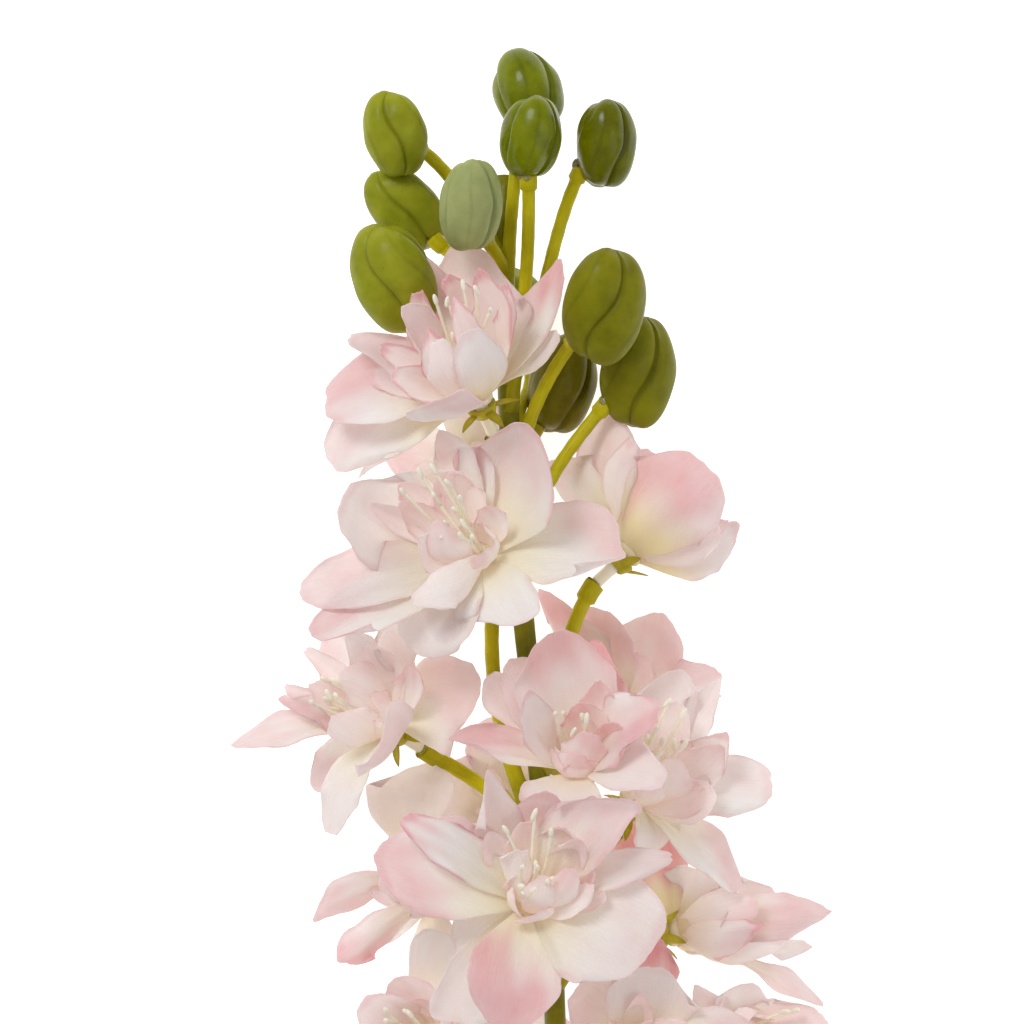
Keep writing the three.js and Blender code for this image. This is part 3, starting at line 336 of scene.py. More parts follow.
# Each bud: its centre and axis, a point on the line from its centre to its stalk's end, where the
# stalk leaves the stem (joint), how its lobes stand (spin), and how far its creases stand round from
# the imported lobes' and wind about its axis (crease).
BUDS = [
  Row(name="bud_top", centre=(3.4, 102.2, 40), axis=(-0.35, 0.85, -0.3), stalk=(2.5, 95, 42),
    length=19, width=17, spin=85, joint=50, crease=(5, 8), finish="gloss"),
  Row(name="bud_front", centre=(4.6, 89.7, 55), axis=(0.1, 0.93, 0.3), stalk=(3.9, 79.5, 52.5),
    length=19, width=14.8, spin=92, joint=24, bow=(2, 0, 0), crease=(5, 10), finish="gloss"),
  Row(name="bud_right", centre=(22.2, 88.5, 50), axis=(0.05, 0.95, 0.3), stalk=(16.6, 82.4, 46),
    length=20.5, width=14.8, spin=55, joint=30, bow=(5, -2, 0), crease=(20, 18), finish="deep"),
  Row(name="bud_left_top", centre=(-27.9, 90.5, 52.5), axis=(-0.12, 0.93, 0.3), stalk=(-21.6, 87, 44),
    length=20, width=15, spin=45, joint=60, crease=(-10, -26)),
  Row(name="bud_left", centre=(-26, 73.6, 41), axis=(-0.55, 0.76, 0.35), stalk=(-18.2, 65, 42),
    length=22.5, width=16, spin=30, joint=52, crease=(-4, -12)),
  Row(name="bud_left_low", centre=(-27.9, 56, 55), axis=(-0.25, 0.9, 0.35), stalk=(-20.5, 48, 45),
    length=26.5, width=19.6, spin=55, joint=40, crease=(-42, -32)),
  Row(name="bud_pale", centre=(-9.7, 72.8, 62), axis=(0.05, 0.93, 0.35), stalk=(-6.5, 65.5, 53),
    length=21.5, width=15, spin=10, joint=57, crease=(80, 0), finish="pale"),
  Row(name="bud_high_right", centre=(21.6, 49.2, 63.5), axis=(0.1, 0.94, 0.3), stalk=(14.5, 40.5, 54.5),
    length=27, width=19.8, spin=30, joint=10, crease=(8, 38), finish="olive"),
  Row(name="bud_low_right", centre=(29.9, 34.4, 45), axis=(0.05, 0.95, 0.25), stalk=(23, 26.5, 45),
    length=26.5, width=18.4, spin=90, joint=-10, crease=(-38, 30), finish="olive"),
  Row(name="bud_under", centre=(1, 50, 8.2), axis=(-0.1, 0.97, 0.12), stalk=(4, 39, 14),
    length=22, width=17.4, spin=268, joint=16, crease=(0, 15)),
  Row(name="bud_back", centre=(12.1, 32, 33.5), axis=(0.2, 0.94, 0.1), stalk=(8, 24.5, 33),
    length=23.5, width=17, spin=70, joint=8, crease=(12, 15), finish="dark"),
]


# ---- small tools


def vec(*numbers):
    return np.array(numbers, dtype=float)


def unit(v):
    return v / np.maximum(np.linalg.norm(v, axis=-1, keepdims=True), 1e-12)


def dot(a, b):
    return (a * b).sum(axis=-1, keepdims=True)


def smooth(start, end, x):
    """0 before the start, 1 past the end and an easy curve between."""
    t = np.clip((x - start) / (end - start), 0, 1)
    return t * t * (3 - 2 * t)


def bell(x, width):
    """1 where x is 0, falling off over a width to either side."""
    return np.exp(-((x / width) ** 2))


def seeded(seed):
    """A repeatable source of numbers from 0 to 1."""
    state = [seed]

    def draw():
        state[0] = (state[0] * 16807) % 2147483647
        return state[0] / 2147483647

    return draw


def about(middle, spread, draw):
    """A number drawn evenly from a spread about its middle."""
    return middle + spread * (draw() - 0.5)


def across(axis):
    """The two directions square to a unit axis."""
    helper = vec(0, 0, 1) if abs(axis[2]) < 0.9 else vec(1, 0, 0)
    first = unit(np.cross(helper, axis))
    return first, np.cross(axis, first)


def round_angles(count):
    """Even angles in radians round a circle."""
    return np.arange(count) / count * FULL_TURN


def circle(first, second, angle):
    """Directions at angles from the first of two square directions towards the second."""
    angle = np.asarray(angle)[..., None]
    return first * np.cos(angle) + second * np.sin(angle)


def turned_about(v, axis, angle):
    """Vectors turned about unit axes by angles."""
    cos, sin = np.cos(angle), np.sin(angle)
    return v * cos + np.cross(axis, v) * sin + axis * dot(axis, v) * (1 - cos)


class Shape:
    """Points, faces and surface values of a piece while it is put together."""

    def __init__(self):
        self.points, self.faces, self.values, self.uvs, self.slots = [], [], [], [], []
        self.count = 0

    def add(self, points, faces, values=(0, 0, 0), uvs=(0, 0), slot=0):
        points = np.asarray(points, dtype=float).reshape(-1, 3)
        size = len(points)
        self.points.append(points)
        self.values.append(np.broadcast_to(np.reshape(values, (-1, 3)), (size, 3)))
        self.uvs.append(np.broadcast_to(np.reshape(uvs, (-1, 2)), (size, 2)).astype(float))
        self.faces += [[corner + self.count for corner in face] for face in faces]
        self.slots += [slot] * len(faces)
        self.count += size

    def build(self, name, nodes, materials):
        """The finished piece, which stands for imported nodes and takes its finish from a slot."""
        mesh = bpy.data.meshes.new(name)
        points = (np.concatenate(self.points) + SHIFT) / 1000
        points[:, 2] = np.maximum(points[:, 2], 0)
        mesh.from_pydata(points.tolist(), [], self.faces)
        values = np.concatenate(self.values)
        tint = mesh.color_attributes.new("tint", "FLOAT_COLOR", "POINT")
        tint.data.foreach_set("color", np.column_stack([values, np.ones(len(values))]).ravel())
        corners = np.empty(len(mesh.loops), dtype=np.int32)
        mesh.loops.foreach_get("vertex_index", corners)
        span = mesh.uv_layers.new(name="span")
        span.data.foreach_set("uv", np.concatenate(self.uvs)[corners].ravel())
        for material in materials:
            mesh.materials.append(material)
        mesh.polygons.foreach_set("material_index", self.slots)
        mesh.polygons.foreach_set("use_smooth", [True] * len(mesh.polygons))
        mesh.update()
        piece = bpy.data.objects.new(name, mesh)
        bpy.context.scene.collection.objects.link(piece)
        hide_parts(*nodes)
        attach(piece, "root")


def sheet_faces(rows, columns, start=0, flip=False):
    faces = []
    for i in range(rows - 1):
        for j in range(columns - 1):
            a = start + i * columns + j
            face = [a, a + columns, a + columns + 1, a + 1]
            faces.append(face[::-1] if flip else face)
    return faces


def shell_faces(rows, columns):
    """Faces of a thin closed blade: an upper sheet, a lower sheet and the rim between them."""
    size = rows * columns
    faces = sheet_faces(rows, columns) + sheet_faces(rows, columns, size, flip=True)
    rim = list(range(columns))
    rim += [i * columns + columns - 1 for i in range(1, rows)]
    rim += [(rows - 1) * columns + j for j in range(columns - 2, -1, -1)]
    rim += [i * columns for i in range(rows - 2, 0, -1)]
    for a, b in zip(rim, rim[1:] + rim[:1]):
        faces.append([a, b, b + size, a + size])
    return faces


def add_shell(shape, grid, offset, values, uvs=(0, 0), slot=0, lowest=0):
    """A thin closed blade whose two skins lie at an offset to either side of a grid of points."""
    rows, columns = grid.shape[:2]
    skins = np.array([grid + offset, grid - offset])
    skins[..., 2] = np.maximum(skins[..., 2], lowest)
    values = np.broadcast_to(values, (2, rows, columns, 3))
    uvs = np.broadcast_to(uvs, (2, rows, columns, 2))
    shape.add(skins, shell_faces(rows, columns), values, uvs, slot)


def normals(grid):
    """The directions square to a grid of points."""
    return unit(np.cross(np.gradient(grid, axis=0), np.gradient(grid, axis=1)))


def tube_faces(rings, sides, hoop=False):
    """Faces between rings of points, closed by a cap at each end or, for a hoop, on themselves."""
    faces = []
    for i in range(rings - (0 if hoop else 1)):
        for j in range(sides):
            low, high = i * sides, ((i + 1) % rings) * sides
            faces.append([low + j, low + (j + 1) % sides, high + (j + 1) % sides, high + j])
    if not hoop:
        last = (rings - 1) * sides
        faces.append(list(range(sides))[::-1])
        faces.append(list(range(last, last + sides)))
    return faces


def frames_along(points):
    """Two square directions at each point of a curve, carried along it without twist."""
    too_near = 0.2
    firsts, tangents = np.empty_like(points), np.empty_like(points)
    last = len(points) - 1
    for i in range(len(points)):
        low, high = i, i
        while low > 0 and np.linalg.norm(points[i] - points[low]) < too_near:
            low -= 1
        while high < last and np.linalg.norm(points[high] - points[i]) < too_near:
            high += 1
        tangents[i] = unit(points[high] - points[low])
    first = across(tangents[0])[0]
    for i, tangent in enumerate(tangents):
        first = unit(first - tangent * first.dot(tangent))
        firsts[i] = first
    return firsts, np.cross(tangents, firsts)


def tube(shape, points, radii, sides, values=(0, 0, 0), relief=None):
    """A round tube along points. relief(turn, share) raises its skin."""
    points = np.asarray(points, dtype=float)
    count = len(points)
    first, second = frames_along(points)
    turn = round_angles(sides)
    radii = np.asarray(radii, dtype=float)[:, None]
    if relief is not None:
        share = np.arange(count) / (count - 1)
        radii = radii + relief(turn[None, :], share[:, None])
    skin = points[:, None] + circle(first[:, None], second[:, None], turn) * radii[..., None]
    length = np.concatenate([[0], np.cumsum(np.linalg.norm(np.diff(points, axis=0), axis=1))])
    uvs = np.stack(np.broadcast_arrays(turn * radii.mean(), length[:, None]), axis=-1)
    values = np.broadcast_to(np.reshape(values, (-1, 1, 3)), (count, sides, 3))
    shape.add(skin, tube_faces(count, sides), values, uvs)


def lathe(shape, centre, axis, heights, radii, sides, values=(0, 0, 0), slot=0, hoop=False):
    """Rings about an axis, at heights along it. The radii may differ round each ring."""
    heights = np.reshape(heights, (-1, 1, 1))
    radii = np.reshape(radii, (len(heights), -1, 1))
    skin = centre + axis * heights + circle(*across(axis), round_angles(sides)) * radii
    shape.add(skin, tube_faces(len(heights), sides, hoop), values, slot=slot)


def ball(shape, centre, axis, radius, length, values=(0, 0, 0), slot=0, sides=10):
    """A round-ended bead of a given radius and length along an axis."""
    tilt = np.linspace(0.02, 0.98, 7) * math.pi
    lathe(shape, centre, axis, -np.cos(tilt) * length / 2, np.sin(tilt) * radius, sides, values, slot)


# ---- stem and stalks


def stem_point(y):
    """The middle of the main stem at a place along it. It sways, and droops to the surface."""
    y = np.asarray(y, dtype=float)
    fall = (y - STEM.crest) / (STEM.foot - STEM.crest)
    x = SWAY.start + SWAY.by * (1 - np.tanh((y - SWAY.middle) / SWAY.over))
    z = STEM.crest_height - (STEM.crest_height - STEM.foot_height) * fall**2
    return np.stack([x, y, z], axis=-1)


def stalk_curve(item, end, direction):
    """Points along a side stalk, their shares of its length, and the distance between its ends."""
    start = stem_point(item.joint)
    length = np.linalg.norm(end - start)
    rise = unit(stem_point(item.joint + 1) - start)
    leave = unit(unit(end - start) + rise * 0.4)
    pull = 0.4 * length
    bow = vec(*item.get("bow", (0, 0, 0)))
    a, b, c, d = start, start + leave * pull + bow, end - direction * pull + bow, end
    t = np.linspace(0, 1, 201)[:, None]
    curve = a * (1 - t) ** 3 + 3 * b * t * (1 - t) ** 2 + 3 * c * t**2 * (1 - t) + d * t**3
    walked = np.concatenate([[0], np.cumsum(np.linalg.norm(np.diff(curve, axis=0), axis=1))])
    return curve, walked / walked[-1], length


def add_stalk(shape, item, end, direction, size, draw):
    """A side stalk from its joint on the main stem to the socket at its end."""
    curve, walked, length = stalk_curve(item, end, direction)
    neck = 1 - size.socket_length / length
    lip = SOCKET.lip / length
    shares = np.concatenate([
        np.linspace(0, neck - 0.02, 22),
        [neck - lip, neck, neck + 2 * lip, (neck + 1) / 2, 1 - 2 * lip, 1 - lip / 2, 1, 1, 1],
    ])
    points = np.stack([np.interp(shares, walked, curve[:, k]) for k in range(3)], axis=-1)
    widening = (size.root - size.radius) * np.clip(1 - shares / (neck * 0.45), 0, 1)
    slim = size.radius + widening + FLARE.height * np.exp(-shares * length / FLARE.over)
    swell = smooth(neck - lip, neck + 2 * lip, shares)
    radii = slim * (1 - swell) + size.socket * swell
    # The socket's mouth: a bevelled rim round a sunk floor.
    points[-4] = end - direction * SOCKET.lip
    radii[-3] -= SOCKET.bevel
    radii[-2] = size.socket - SOCKET.wall
    radii[-1] = size.socket - SOCKET.floor
    points[-1] -= direction * SOCKET.depth
    values = np.zeros((len(shares), 3))
    values[:, 0] = np.clip(0.25 + 2.2 * shares, 0, 1)
    phase = draw() * 6

    def relief(turn, share):
        ridges = 0.07 * np.sin(3 * turn + phase + 5 * share)
        return ridges + 0.05 * np.sin(1.65 * share * length + 2 * turn + phase)

    tube(shape, points, radii, 14, values, relief)


def bud_stalk_end(bud):
    """Where a bud's stalk ends, just under its skin, and the direction from there to its centre."""
    inward = unit(bud.centre - bud.stalk)
    return bud.centre + inward * (0.5 - bud_radius(bud, -inward)), inward


def make_stem():
    """The main stem, flat at its foot and a little hollow at its top, with the side stalks."""
    shape = Shape()
    heights = np.linspace(0, 1, 110)
    points = stem_point(STEM.foot + (STEM.top - STEM.foot) * heights)
    points = np.vstack([points[:1], points, points[-1:], points[-1:]])
    points[-1] -= unit(points[-1] - points[-4]) * 0.5
    radii = STEM.radius + (STEM.top_radius - STEM.radius) * heights**3
    radii = np.concatenate([[radii[0] - 0.9], radii, [radii[-1] - 0.25, radii[-1] - 1.1]])

    def relief(turn, share):
        ridges = 0.1 * np.sin(2 * turn + 9 * share) + 0.06 * np.sin(5 * turn + 70 * share)
        return ridges + 0.05 * np.sin(3 * turn - 160 * share)

    tube(shape, points, radii, 20, relief=relief)
    draw = seeded(77)
    for bloom in BLOOMS:
        end = bloom.at + bloom.faces * (SHAFT.bottom - CLEARANCE)
        add_stalk(shape, bloom, end, bloom.faces, STALK, draw)
    for bud in BUDS:
        end, inward = bud_stalk_end(bud)
        add_stalk(shape, bud, end, inward, BUD_STALK, draw)
    shape.build("stem_and_stalks", ["stem"], [stem_material])


# ---- buds


def bud_radius(bud, direction):
    """The distance from a bud's centre to its skin: the outside of three long lobes about its axis."""
    offset = BUD.offset * bud.width
    thick, long = bud.width / 2 - offset, bud.length / 2
    first, second = across(bud.axis)
    x, y, z = direction @ first, direction @ second, direction @ bud.axis
    a = (x * x + y * y) / thick**2 + (z / long) ** 2
    reaches = []
    for lobe in range(3):
        turn = math.radians(bud.spin + 120 * lobe)
        cx, cy = math.cos(turn) * offset, math.sin(turn) * offset
        cz = -BUD.lag * bud.width * lobe
        b = (x * cx + y * cy) / thick**2 + (z * cz) / long**2
        c = (offset / thick) ** 2 + (cz / long) ** 2 - 1
        reaches.append((b + np.sqrt(b * b - a * c)) / a)
    # A power mean of the three follows the furthest and rounds the corners between them.
    furthest = np.max(reaches, axis=0)
    power = BUD.power
    mean = np.mean([(reach / furthest) ** power for reach in reaches], axis=0) ** (1 / power)
    return furthest * mean * BUD.fullness


def add_pod(shape, bud, draw):
    """The bud's skin. One lobe lies over the next at each crease."""
    rows, columns = 46, 114
    tilt = np.linspace(0.012, 0.988, rows)[:, None] * math.pi
    sin_tilt, cos_tilt = np.sin(tilt), -np.cos(tilt)
    first, second = across(bud.axis)

    def way(angle):
        """Directions at angles about the axis, for each tilt."""
        return circle(first, second, angle) * sin_tilt[..., None] + cos_tilt[..., None] * bud.axis

    # The lobes wind a little about the axis, so that each crease is a curve. The mesh winds with
    # them, so that a crease keeps its place between two columns.
    shift, coil = bud.crease
    third = FULL_TURN / 3
    column = round_angles(columns) + FULL_TURN / columns / 2
    lobes = column + math.radians(bud.spin) - 0.05 * np.sin(3 * tilt + draw() * 6)
    turn = lobes + np.radians(shift + coil * cos_tilt)
    from_crease = column % third - third / 2
    lap = np.where(from_crease > 0, np.exp(-from_crease / 0.3), -np.exp(from_crease / 0.12))
    groove = bell(from_crease, 0.095) * np.sqrt(sin_tilt)
    seam = bell(third / 2 - np.abs(from_crease), 0.06) * sin_tilt
    uneven = 0.12 * np.sin(4 * turn + 3 * tilt + draw() * 6) + 0.08 * np.sin(7 * turn - 5 * tilt)
    reach = bud_radius(bud, way(lobes)) + (0.55 * lap + 0.25) * smooth(0, 0.5, sin_tilt)
    reach = reach - 0.35 * groove + 0.07 * seam + uneven * sin_tilt + 0.5 * smooth(0.965, 1, cos_tilt)
    skin = bud.centre + way(turn) * reach[..., None]
    # The groove also marks where the paint puts painted shade in the creases.
    values = np.stack(np.broadcast_arrays(groove, seam, 0), axis=-1)
    uvs = np.stack(np.broadcast_arrays(turn * bud.width / 2, tilt * bud.length / 3), axis=-1)
    shape.add(skin, tube_faces(rows, columns), values, uvs)


def make_bud(bud, number):
    """A pod, with clear glue round the end of its stalk."""
    shape = Shape()
    draw = seeded(900 + 41 * number)
    add_pod(shape, bud, draw)
    end, inward = bud_stalk_end(bud)
    side, other = across(inward)
    for _ in range(4):
        angle = draw() * 6.28
        place = end + circle(side, other, angle) * 1.7 - inward * (0.1 + draw() * 0.5)
        size = 0.6 + 0.5 * draw()
        ball(shape, place, inward, size, size * 2.6, slot=1)
    finish = bud_materials[bud.get("finish", "satin")]
    shape.build(bud.name + "_pod", [bud.name], [finish, glue_material])


# ---- where petals may reach


def clear_planes(bloom):
    """Each bloom keeps to its own side of a leaning plane between it and each neighbour."""
    mine = bloom.at + bloom.faces * SPACE.reach
    planes = []
    for other in BLOOMS:
        theirs = other.at + other.faces * SPACE.reach
        between = theirs - mine
        if other is bloom or np.linalg.norm(between) > SPACE.neighbours:
            continue
        foot = mine + between * bloom.room / (bloom.room + other.room)
        planes.append((foot, unit(between * vec(1, 1, SPACE.layering))))
    return planes


def eased(past):
    """A distance past a boundary becomes one just short of it, easing in over the last stretch."""
    room = SPACE.ease - SPACE.gap
    slow = -SPACE.gap - room * np.exp(-(np.maximum(past, -SPACE.ease) + SPACE.ease) / room)
    return np.where(past < -SPACE.ease, past, slow)


def keep_clear(points, bloom):
    """Bends points of a bloom clear of its neighbours, of the stem and of the surface below."""
    p = points.copy()
    for foot, normal in bloom.planes:
        past = dot(p - foot, normal)
        p += normal * (eased(past) - past)
    past = STEM.radius + SPACE.gap - dot(p - stem_point(p[..., 1]), bloom.side)
    p += bloom.side * (past - eased(past))
    p[..., 2] = PRESS_DEPTH - eased(PRESS_DEPTH - p[..., 2])
    for foot, normal in bloom.planes:
        p -= normal * np.maximum(dot(p - foot, normal) + SPACE.gap, 0)
    p[..., 2] = np.maximum(p[..., 2], FLOOR_GAP)
    return p


# ---- the form of one petal


def fullness(share, form):
    """A petal's width at a share of its length, as a part of its greatest width."""
    quarter = math.pi / 2
    low = form.base + (1 - form.base) * np.sin(quarter * share / form.widest)
    beyond = quarter * (share - form.widest) / (1 - form.widest)
    high = form.tip + (1 - form.tip) * np.cos(beyond)
    return np.where(share < form.widest, low, high)


def petal_reach(form, own, share, v):
    """How far along the petal each point stands: the tip is rounded or pointed, notched and ragged."""
    drop = np.abs(v - own.lean * share) ** own.point
    notch = own.notch * bell(v, 0.22) * share**6
    uneven = 0.4 * np.sin(7 * v + own.phase) + 0.25 * np.sin(17 * v - own.phase)
    return share * (1 - form.round * drop * share * share - notch) + form.ragged * uneven * share**3


def petal_half_width(petal, form, own, share, v):
    """Half the petal's width along it, with a slightly wavy cut."""
    wavy = np.sin(11 * share + 2 * own.phase + np.sign(v)) + 0.6 * np.sin(23 * share - own.phase)
    return petal.width / 2 * fullness(share, form) * (1 + form.ragged * wavy * np.abs(v))


def petal_lift(petal, form, own, share, v, half, length):
    """How far each point is raised by the cup, the rim's waves, a folded corner, a curl and pleats."""
    phase = own.phase
    edge = np.abs(v)
    cup = (form.cup + own.gutter * smooth(0.1, 0.6, share)) * half * v * v
    wave = form.wave * np.sin(7 * share + petal.phase) * v * share
    ruffle = own.ruffle * np.sin(own.ruffles * share + phase + 1.5 * np.sign(v))
    ruffle = ruffle * edge**3 * smooth(0.2, 0.6, share)
    corner = 0.8 * share + 0.42 * own.corner * v
    fold = own.fold * smooth(0.6, 1.25, corner) ** 2
    curl = own.tip_curl * smooth(0.55, 1.1, share) ** 2
    pleat = own.pleat * np.cos(own.pleats * v + phase + 2 * share) * bell(share - 0.35, 0.3)
    swell = own.swell * np.sin(2.6 * v + 2 * phase + 1.5 * share) * np.sin(math.pi * share)
    layer = own.layer * (1 - share)
    return cup + wave + ruffle + (fold + curl) * length + (pleat + swell) * (1 - edge**4) + layer


def root_side(bloom, petal):
    """The direction from a bloom's axis to where a petal is rooted."""
    toward = petal.get("rooted", petal.tip)
    return unit(toward - bloom.faces * toward.dot(bloom.faces))


def petal_dye(petal, own, share, v):
    """Pink from the tip and more on one side, a deep line along the rim, and yellow at the root."""
    lean = share + 0.35 * own.side_dye * v * smooth(0.1, 0.6, share)
    cloud = 0.09 * np.sin(5 * share + 3 * v + own.phase) + 0.06 * np.sin(9 * v - 4 * share)
    pink = petal.blush + own.tip_dye * smooth(own.dye_from, own.dye_from + 0.6, lean + cloud)
    edge = np.maximum(np.abs(v) * smooth(0.15, 0.5, share), smooth(0.3, 1, share) * share)
    pink = np.maximum(pink, own.rim_dye * 0.7 * smooth(0.7, 1.02, edge + cloud * 0.6))
    deep = own.rim_dye * smooth(0.85, 0.99, edge + cloud * 0.3)
    root = petal.yellow * smooth(0.75, 0, share)
    return np.concatenate([np.clip(pink, 0, 1), deep, root], axis=-1)


def frayed(grid, share, v, seed):
    """The cut edges are a little frayed at the sides and the tip."""
    draw = seeded(seed)
    fray = np.array([draw() - 0.5 for _ in range(share.size)]).reshape(share.shape) * FRAY
    on_side = (np.abs(v) > 0.999) & (share > 0.3)
    on_tip = share > 0.999
    aside = unit(np.gradient(grid, axis=1)) * np.sign(v)
    return grid + (aside * on_side + unit(np.gradient(grid, axis=0)) * on_tip) * fray


def add_petal(shape, bloom, petal, form, own, seed):
    """A closed blade that leaves the bloom's axis at its root and arches over to its tip."""
    # Rows lie closer at the tip and columns at the sides, where a petal curves most.
    shares = 1 - (1 - np.linspace(0, 1, form.rows)) ** 1.25
    sides = np.sin(np.linspace(-1, 1, form.columns) * 1.25) / math.sin(1.25)
    share, v = [grid[..., None] for grid in np.meshgrid(shares, sides, indexing="ij")]
    outward = root_side(bloom, petal)
    root = bloom.at + outward * form.root_radius + bloom.faces * form.root_height
    tip = bloom.at + petal.tip
    length = np.linalg.norm(tip - root)
    round_ = unit(np.cross(bloom.faces, outward))
    above = unit(np.cross(tip - root, round_))
    middle = (root + tip) / 2 + above * 2 * petal.arch * length
    u = petal_reach(form, own, share, v)
    tangent = unit((middle - root) * (1 - u) + (tip - middle) * u)
    up = unit(np.cross(tangent, round_))
    twist = np.radians(petal.twist + own.twist) * (0.3 + 0.7 * share)
    side = turned_about(np.cross(up, tangent), tangent, twist)
    up = turned_about(up, tangent, twist)
    half = petal_half_width(petal, form, own, share, v)
    spine = root * (1 - u) ** 2 + middle * 2 * u * (1 - u) + tip * u * u
    lift = petal_lift(petal, form, own, share, v, half, length)
    grid = keep_clear(spine + side * half * v + up * lift, bloom)
    slim = np.minimum(1, 0.4 + 3 * np.minimum(1 - np.abs(v), 1 - share))
    offset = normals(grid) * form.thickness / 2 * slim
    uvs = np.concatenate([half * v, share * length], axis=-1)
    grid = frayed(grid, share, v, seed)
    add_shell(shape, grid, offset, petal_dye(petal, own, share, v), uvs, form.slot)


# ---- the petals of a bloom


def turned_tip(bloom, turn, open_, length):
    """A reach at an angle round the bloom and an angle open from its axis."""
    out = circle(*across(bloom.faces), turn)
    return (out * math.sin(open_) + bloom.faces * math.cos(open_)) * length


def bare_turns(bloom, petals, ring, draw):
    """Angles round the bloom where a rule adds petals: all round, or in the wide gaps that are left."""
    if not petals:
        start = draw() * 6
        return [start + i / ring.count * FULL_TURN for i in range(ring.count)]
    if not bloom.fill:
        return []
    first, second = across(bloom.faces)
    turns = sorted(math.atan2(petal.tip.dot(second), petal.tip.dot(first)) for petal in petals)
    bare = []
    for turn, following in zip(turns, turns[1:] + [turns[0] + FULL_TURN]):
        extra = math.floor((following - turn) / math.radians(WIDEST_GAP))
        bare += [turn + (following - turn) * k / (extra + 1) for k in range(1, extra + 1)]
    return bare


def outer_petals(bloom, draw):
    """The listed petals, then those that a rule adds."""
    ring = PRESSED_RING if bloom.faces[2] < -0.5 else PLAIN_RING
    dyes = Row(blush=bloom.blush, yellow=bloom.yellow)
    petals = []
    for x, y, z, width, arch, twist, dye, *own in bloom.petals:
        petals.append(Row(
            dyes, tip=vec(x, y, z), width=width, arch=arch, twist=twist, dye=dye, phase=draw() * 6,
            own=own[0] if own else {},
        ))
    for turn in bare_turns(bloom, petals, ring, draw):
        length = ring.length * about(1, 0.16, draw)
        open_ = math.radians(about(ring.open, 16, draw))
        petals.append(Row(
            dyes,
            tip=turned_tip(bloom, about(turn, 0.2, draw), open_, length),
            width=ring.width * about(0.98, 0.2, draw),
            arch=about(ring.arch, 0.16, draw),
            twist=about(0, 30, draw),
            dye=0.4,
            phase=draw() * 6,
            own={},
        ))
    return petals


def whorl_petals(bloom, whorl, draw):
    """The smaller petals that stand round the stamens."""
    start = draw() * 6
    petals = []
    for i in range(whorl.count):
        turn = about(start + i / whorl.count * FULL_TURN, 0.3, draw)
        open_ = math.radians(about(whorl.open, whorl.range, draw))
        petals.append(Row(
            tip=turned_tip(bloom, turn, open_, whorl.length * about(1, 0.3, draw)),
            width=whorl.width * about(1, 0.3, draw),
            arch=whorl.arch,
            twist=about(0, 24, draw),
            phase=draw() * 6,
            form=Row(INNER, root_radius=whorl.root_radius, root_height=whorl.root_height),
            blush=bloom.blush,
            yellow=bloom.yellow,
            own={},
        ))
    return petals


def open_twist(bloom, petal):
    """The twist in degrees that turns a petal's broad side up."""
    faces = bloom.faces
    outward = root_side(bloom, petal)
    along = unit(petal.tip - outward * PLACED.root_radius - faces * PLACED.root_height)
    up = unit(np.cross(along, np.cross(faces, outward)))
    side = np.cross(up, along)
    level = np.cross(vec(0, 0, 1), along)
    steep = smooth(0.2, 0.6, np.linalg.norm(level))
    level = unit(level) * (1 if level.dot(side) > 0 else -1)
    turn = math.atan2(np.cross(side, level).dot(along), side.dot(level))
    reached = 0.72  # the part of its twist that a petal has a little past its middle
    return math.degrees(turn) * float(steep) / reached


def placed_hearts(bloom):
    """The inner petals that the photo shows, listed one by one."""
    petals = []
    for i, (x, y, z, width, arch, dye, rim, *rooted) in enumerate(bloom.hearts):
        petal = Row(
            tip=vec(x, y, z), width=width, arch=arch, phase=1.7 * i, form=PLACED,
            blush=bloom.blush, yellow=0.4 * bloom.yellow, own=Row(tip_dye=dye, rim_dye=rim),
        )
        for angle in rooted:
            petal["rooted"] = circle(vec(1, 0, 0), vec(0, 1, 0), math.radians(angle))
        petal["twist"] = FACING * open_twist(bloom, petal)
        petals.append(petal)
    return petals


def drawn_form(ranges, draw):
    """What sets one petal apart from the next: a number from each range, in the order of the ranges."""
    own = Row((key, low + (high - low) * draw()) for key, (low, high) in ranges.items())
    own["corner"] = math.copysign(1, own.corner)
    return own


def outer_form(petal, draw):
    own = drawn_form(OUTER_RANGES, draw)
    own.update(
        fold=1.1 * (own.fold - 0.35) ** 3,
        notch=max(0, own.notch),
        rim_dye=0.15 + 0.35 * own.rim_dye ** 2,
        tip_dye=petal.dye,
    )
    return Row(own, **petal.own)


def add_join(shape, bloom):
    """The low cup where all the petals join."""
    heights, radii = zip(*JOIN_PROFILE)
    lathe(shape, bloom.at, bloom.faces, heights, radii, 24, (0, 0, 0.8))


def make_petals(bloom):
    """All the fabric of a bloom: the outer petals, the heart and the cup that joins them."""
    shape = Shape()
    draw = seeded(bloom.seed)
    form_draw = seeded(bloom.seed + 5000)
    outer = outer_petals(bloom, draw)
    inner = whorl_petals(bloom, HEART, draw)
    if bloom.hearts:
        for petal in inner:
            petal["tip"] = petal.tip * HEART_CUT
    else:
        for whorl in WHORLS:
            inner += whorl_petals(bloom, whorl, form_draw)
    inner += placed_hearts(bloom)
    for i, petal in enumerate(outer):
        add_petal(shape, bloom, petal, OUTER, outer_form(petal, form_draw), 7 + i)
    for i, petal in enumerate(inner):
        own = Row(drawn_form(INNER_RANGES, form_draw), **petal.own)
        add_petal(shape, bloom, petal, petal.form, own, 57 + i)
    add_join(shape, bloom)
    shape.build(bloom.name + "_fabric", [bloom.name + "_petals"], petal_materials)


# ---- stamens and calyx


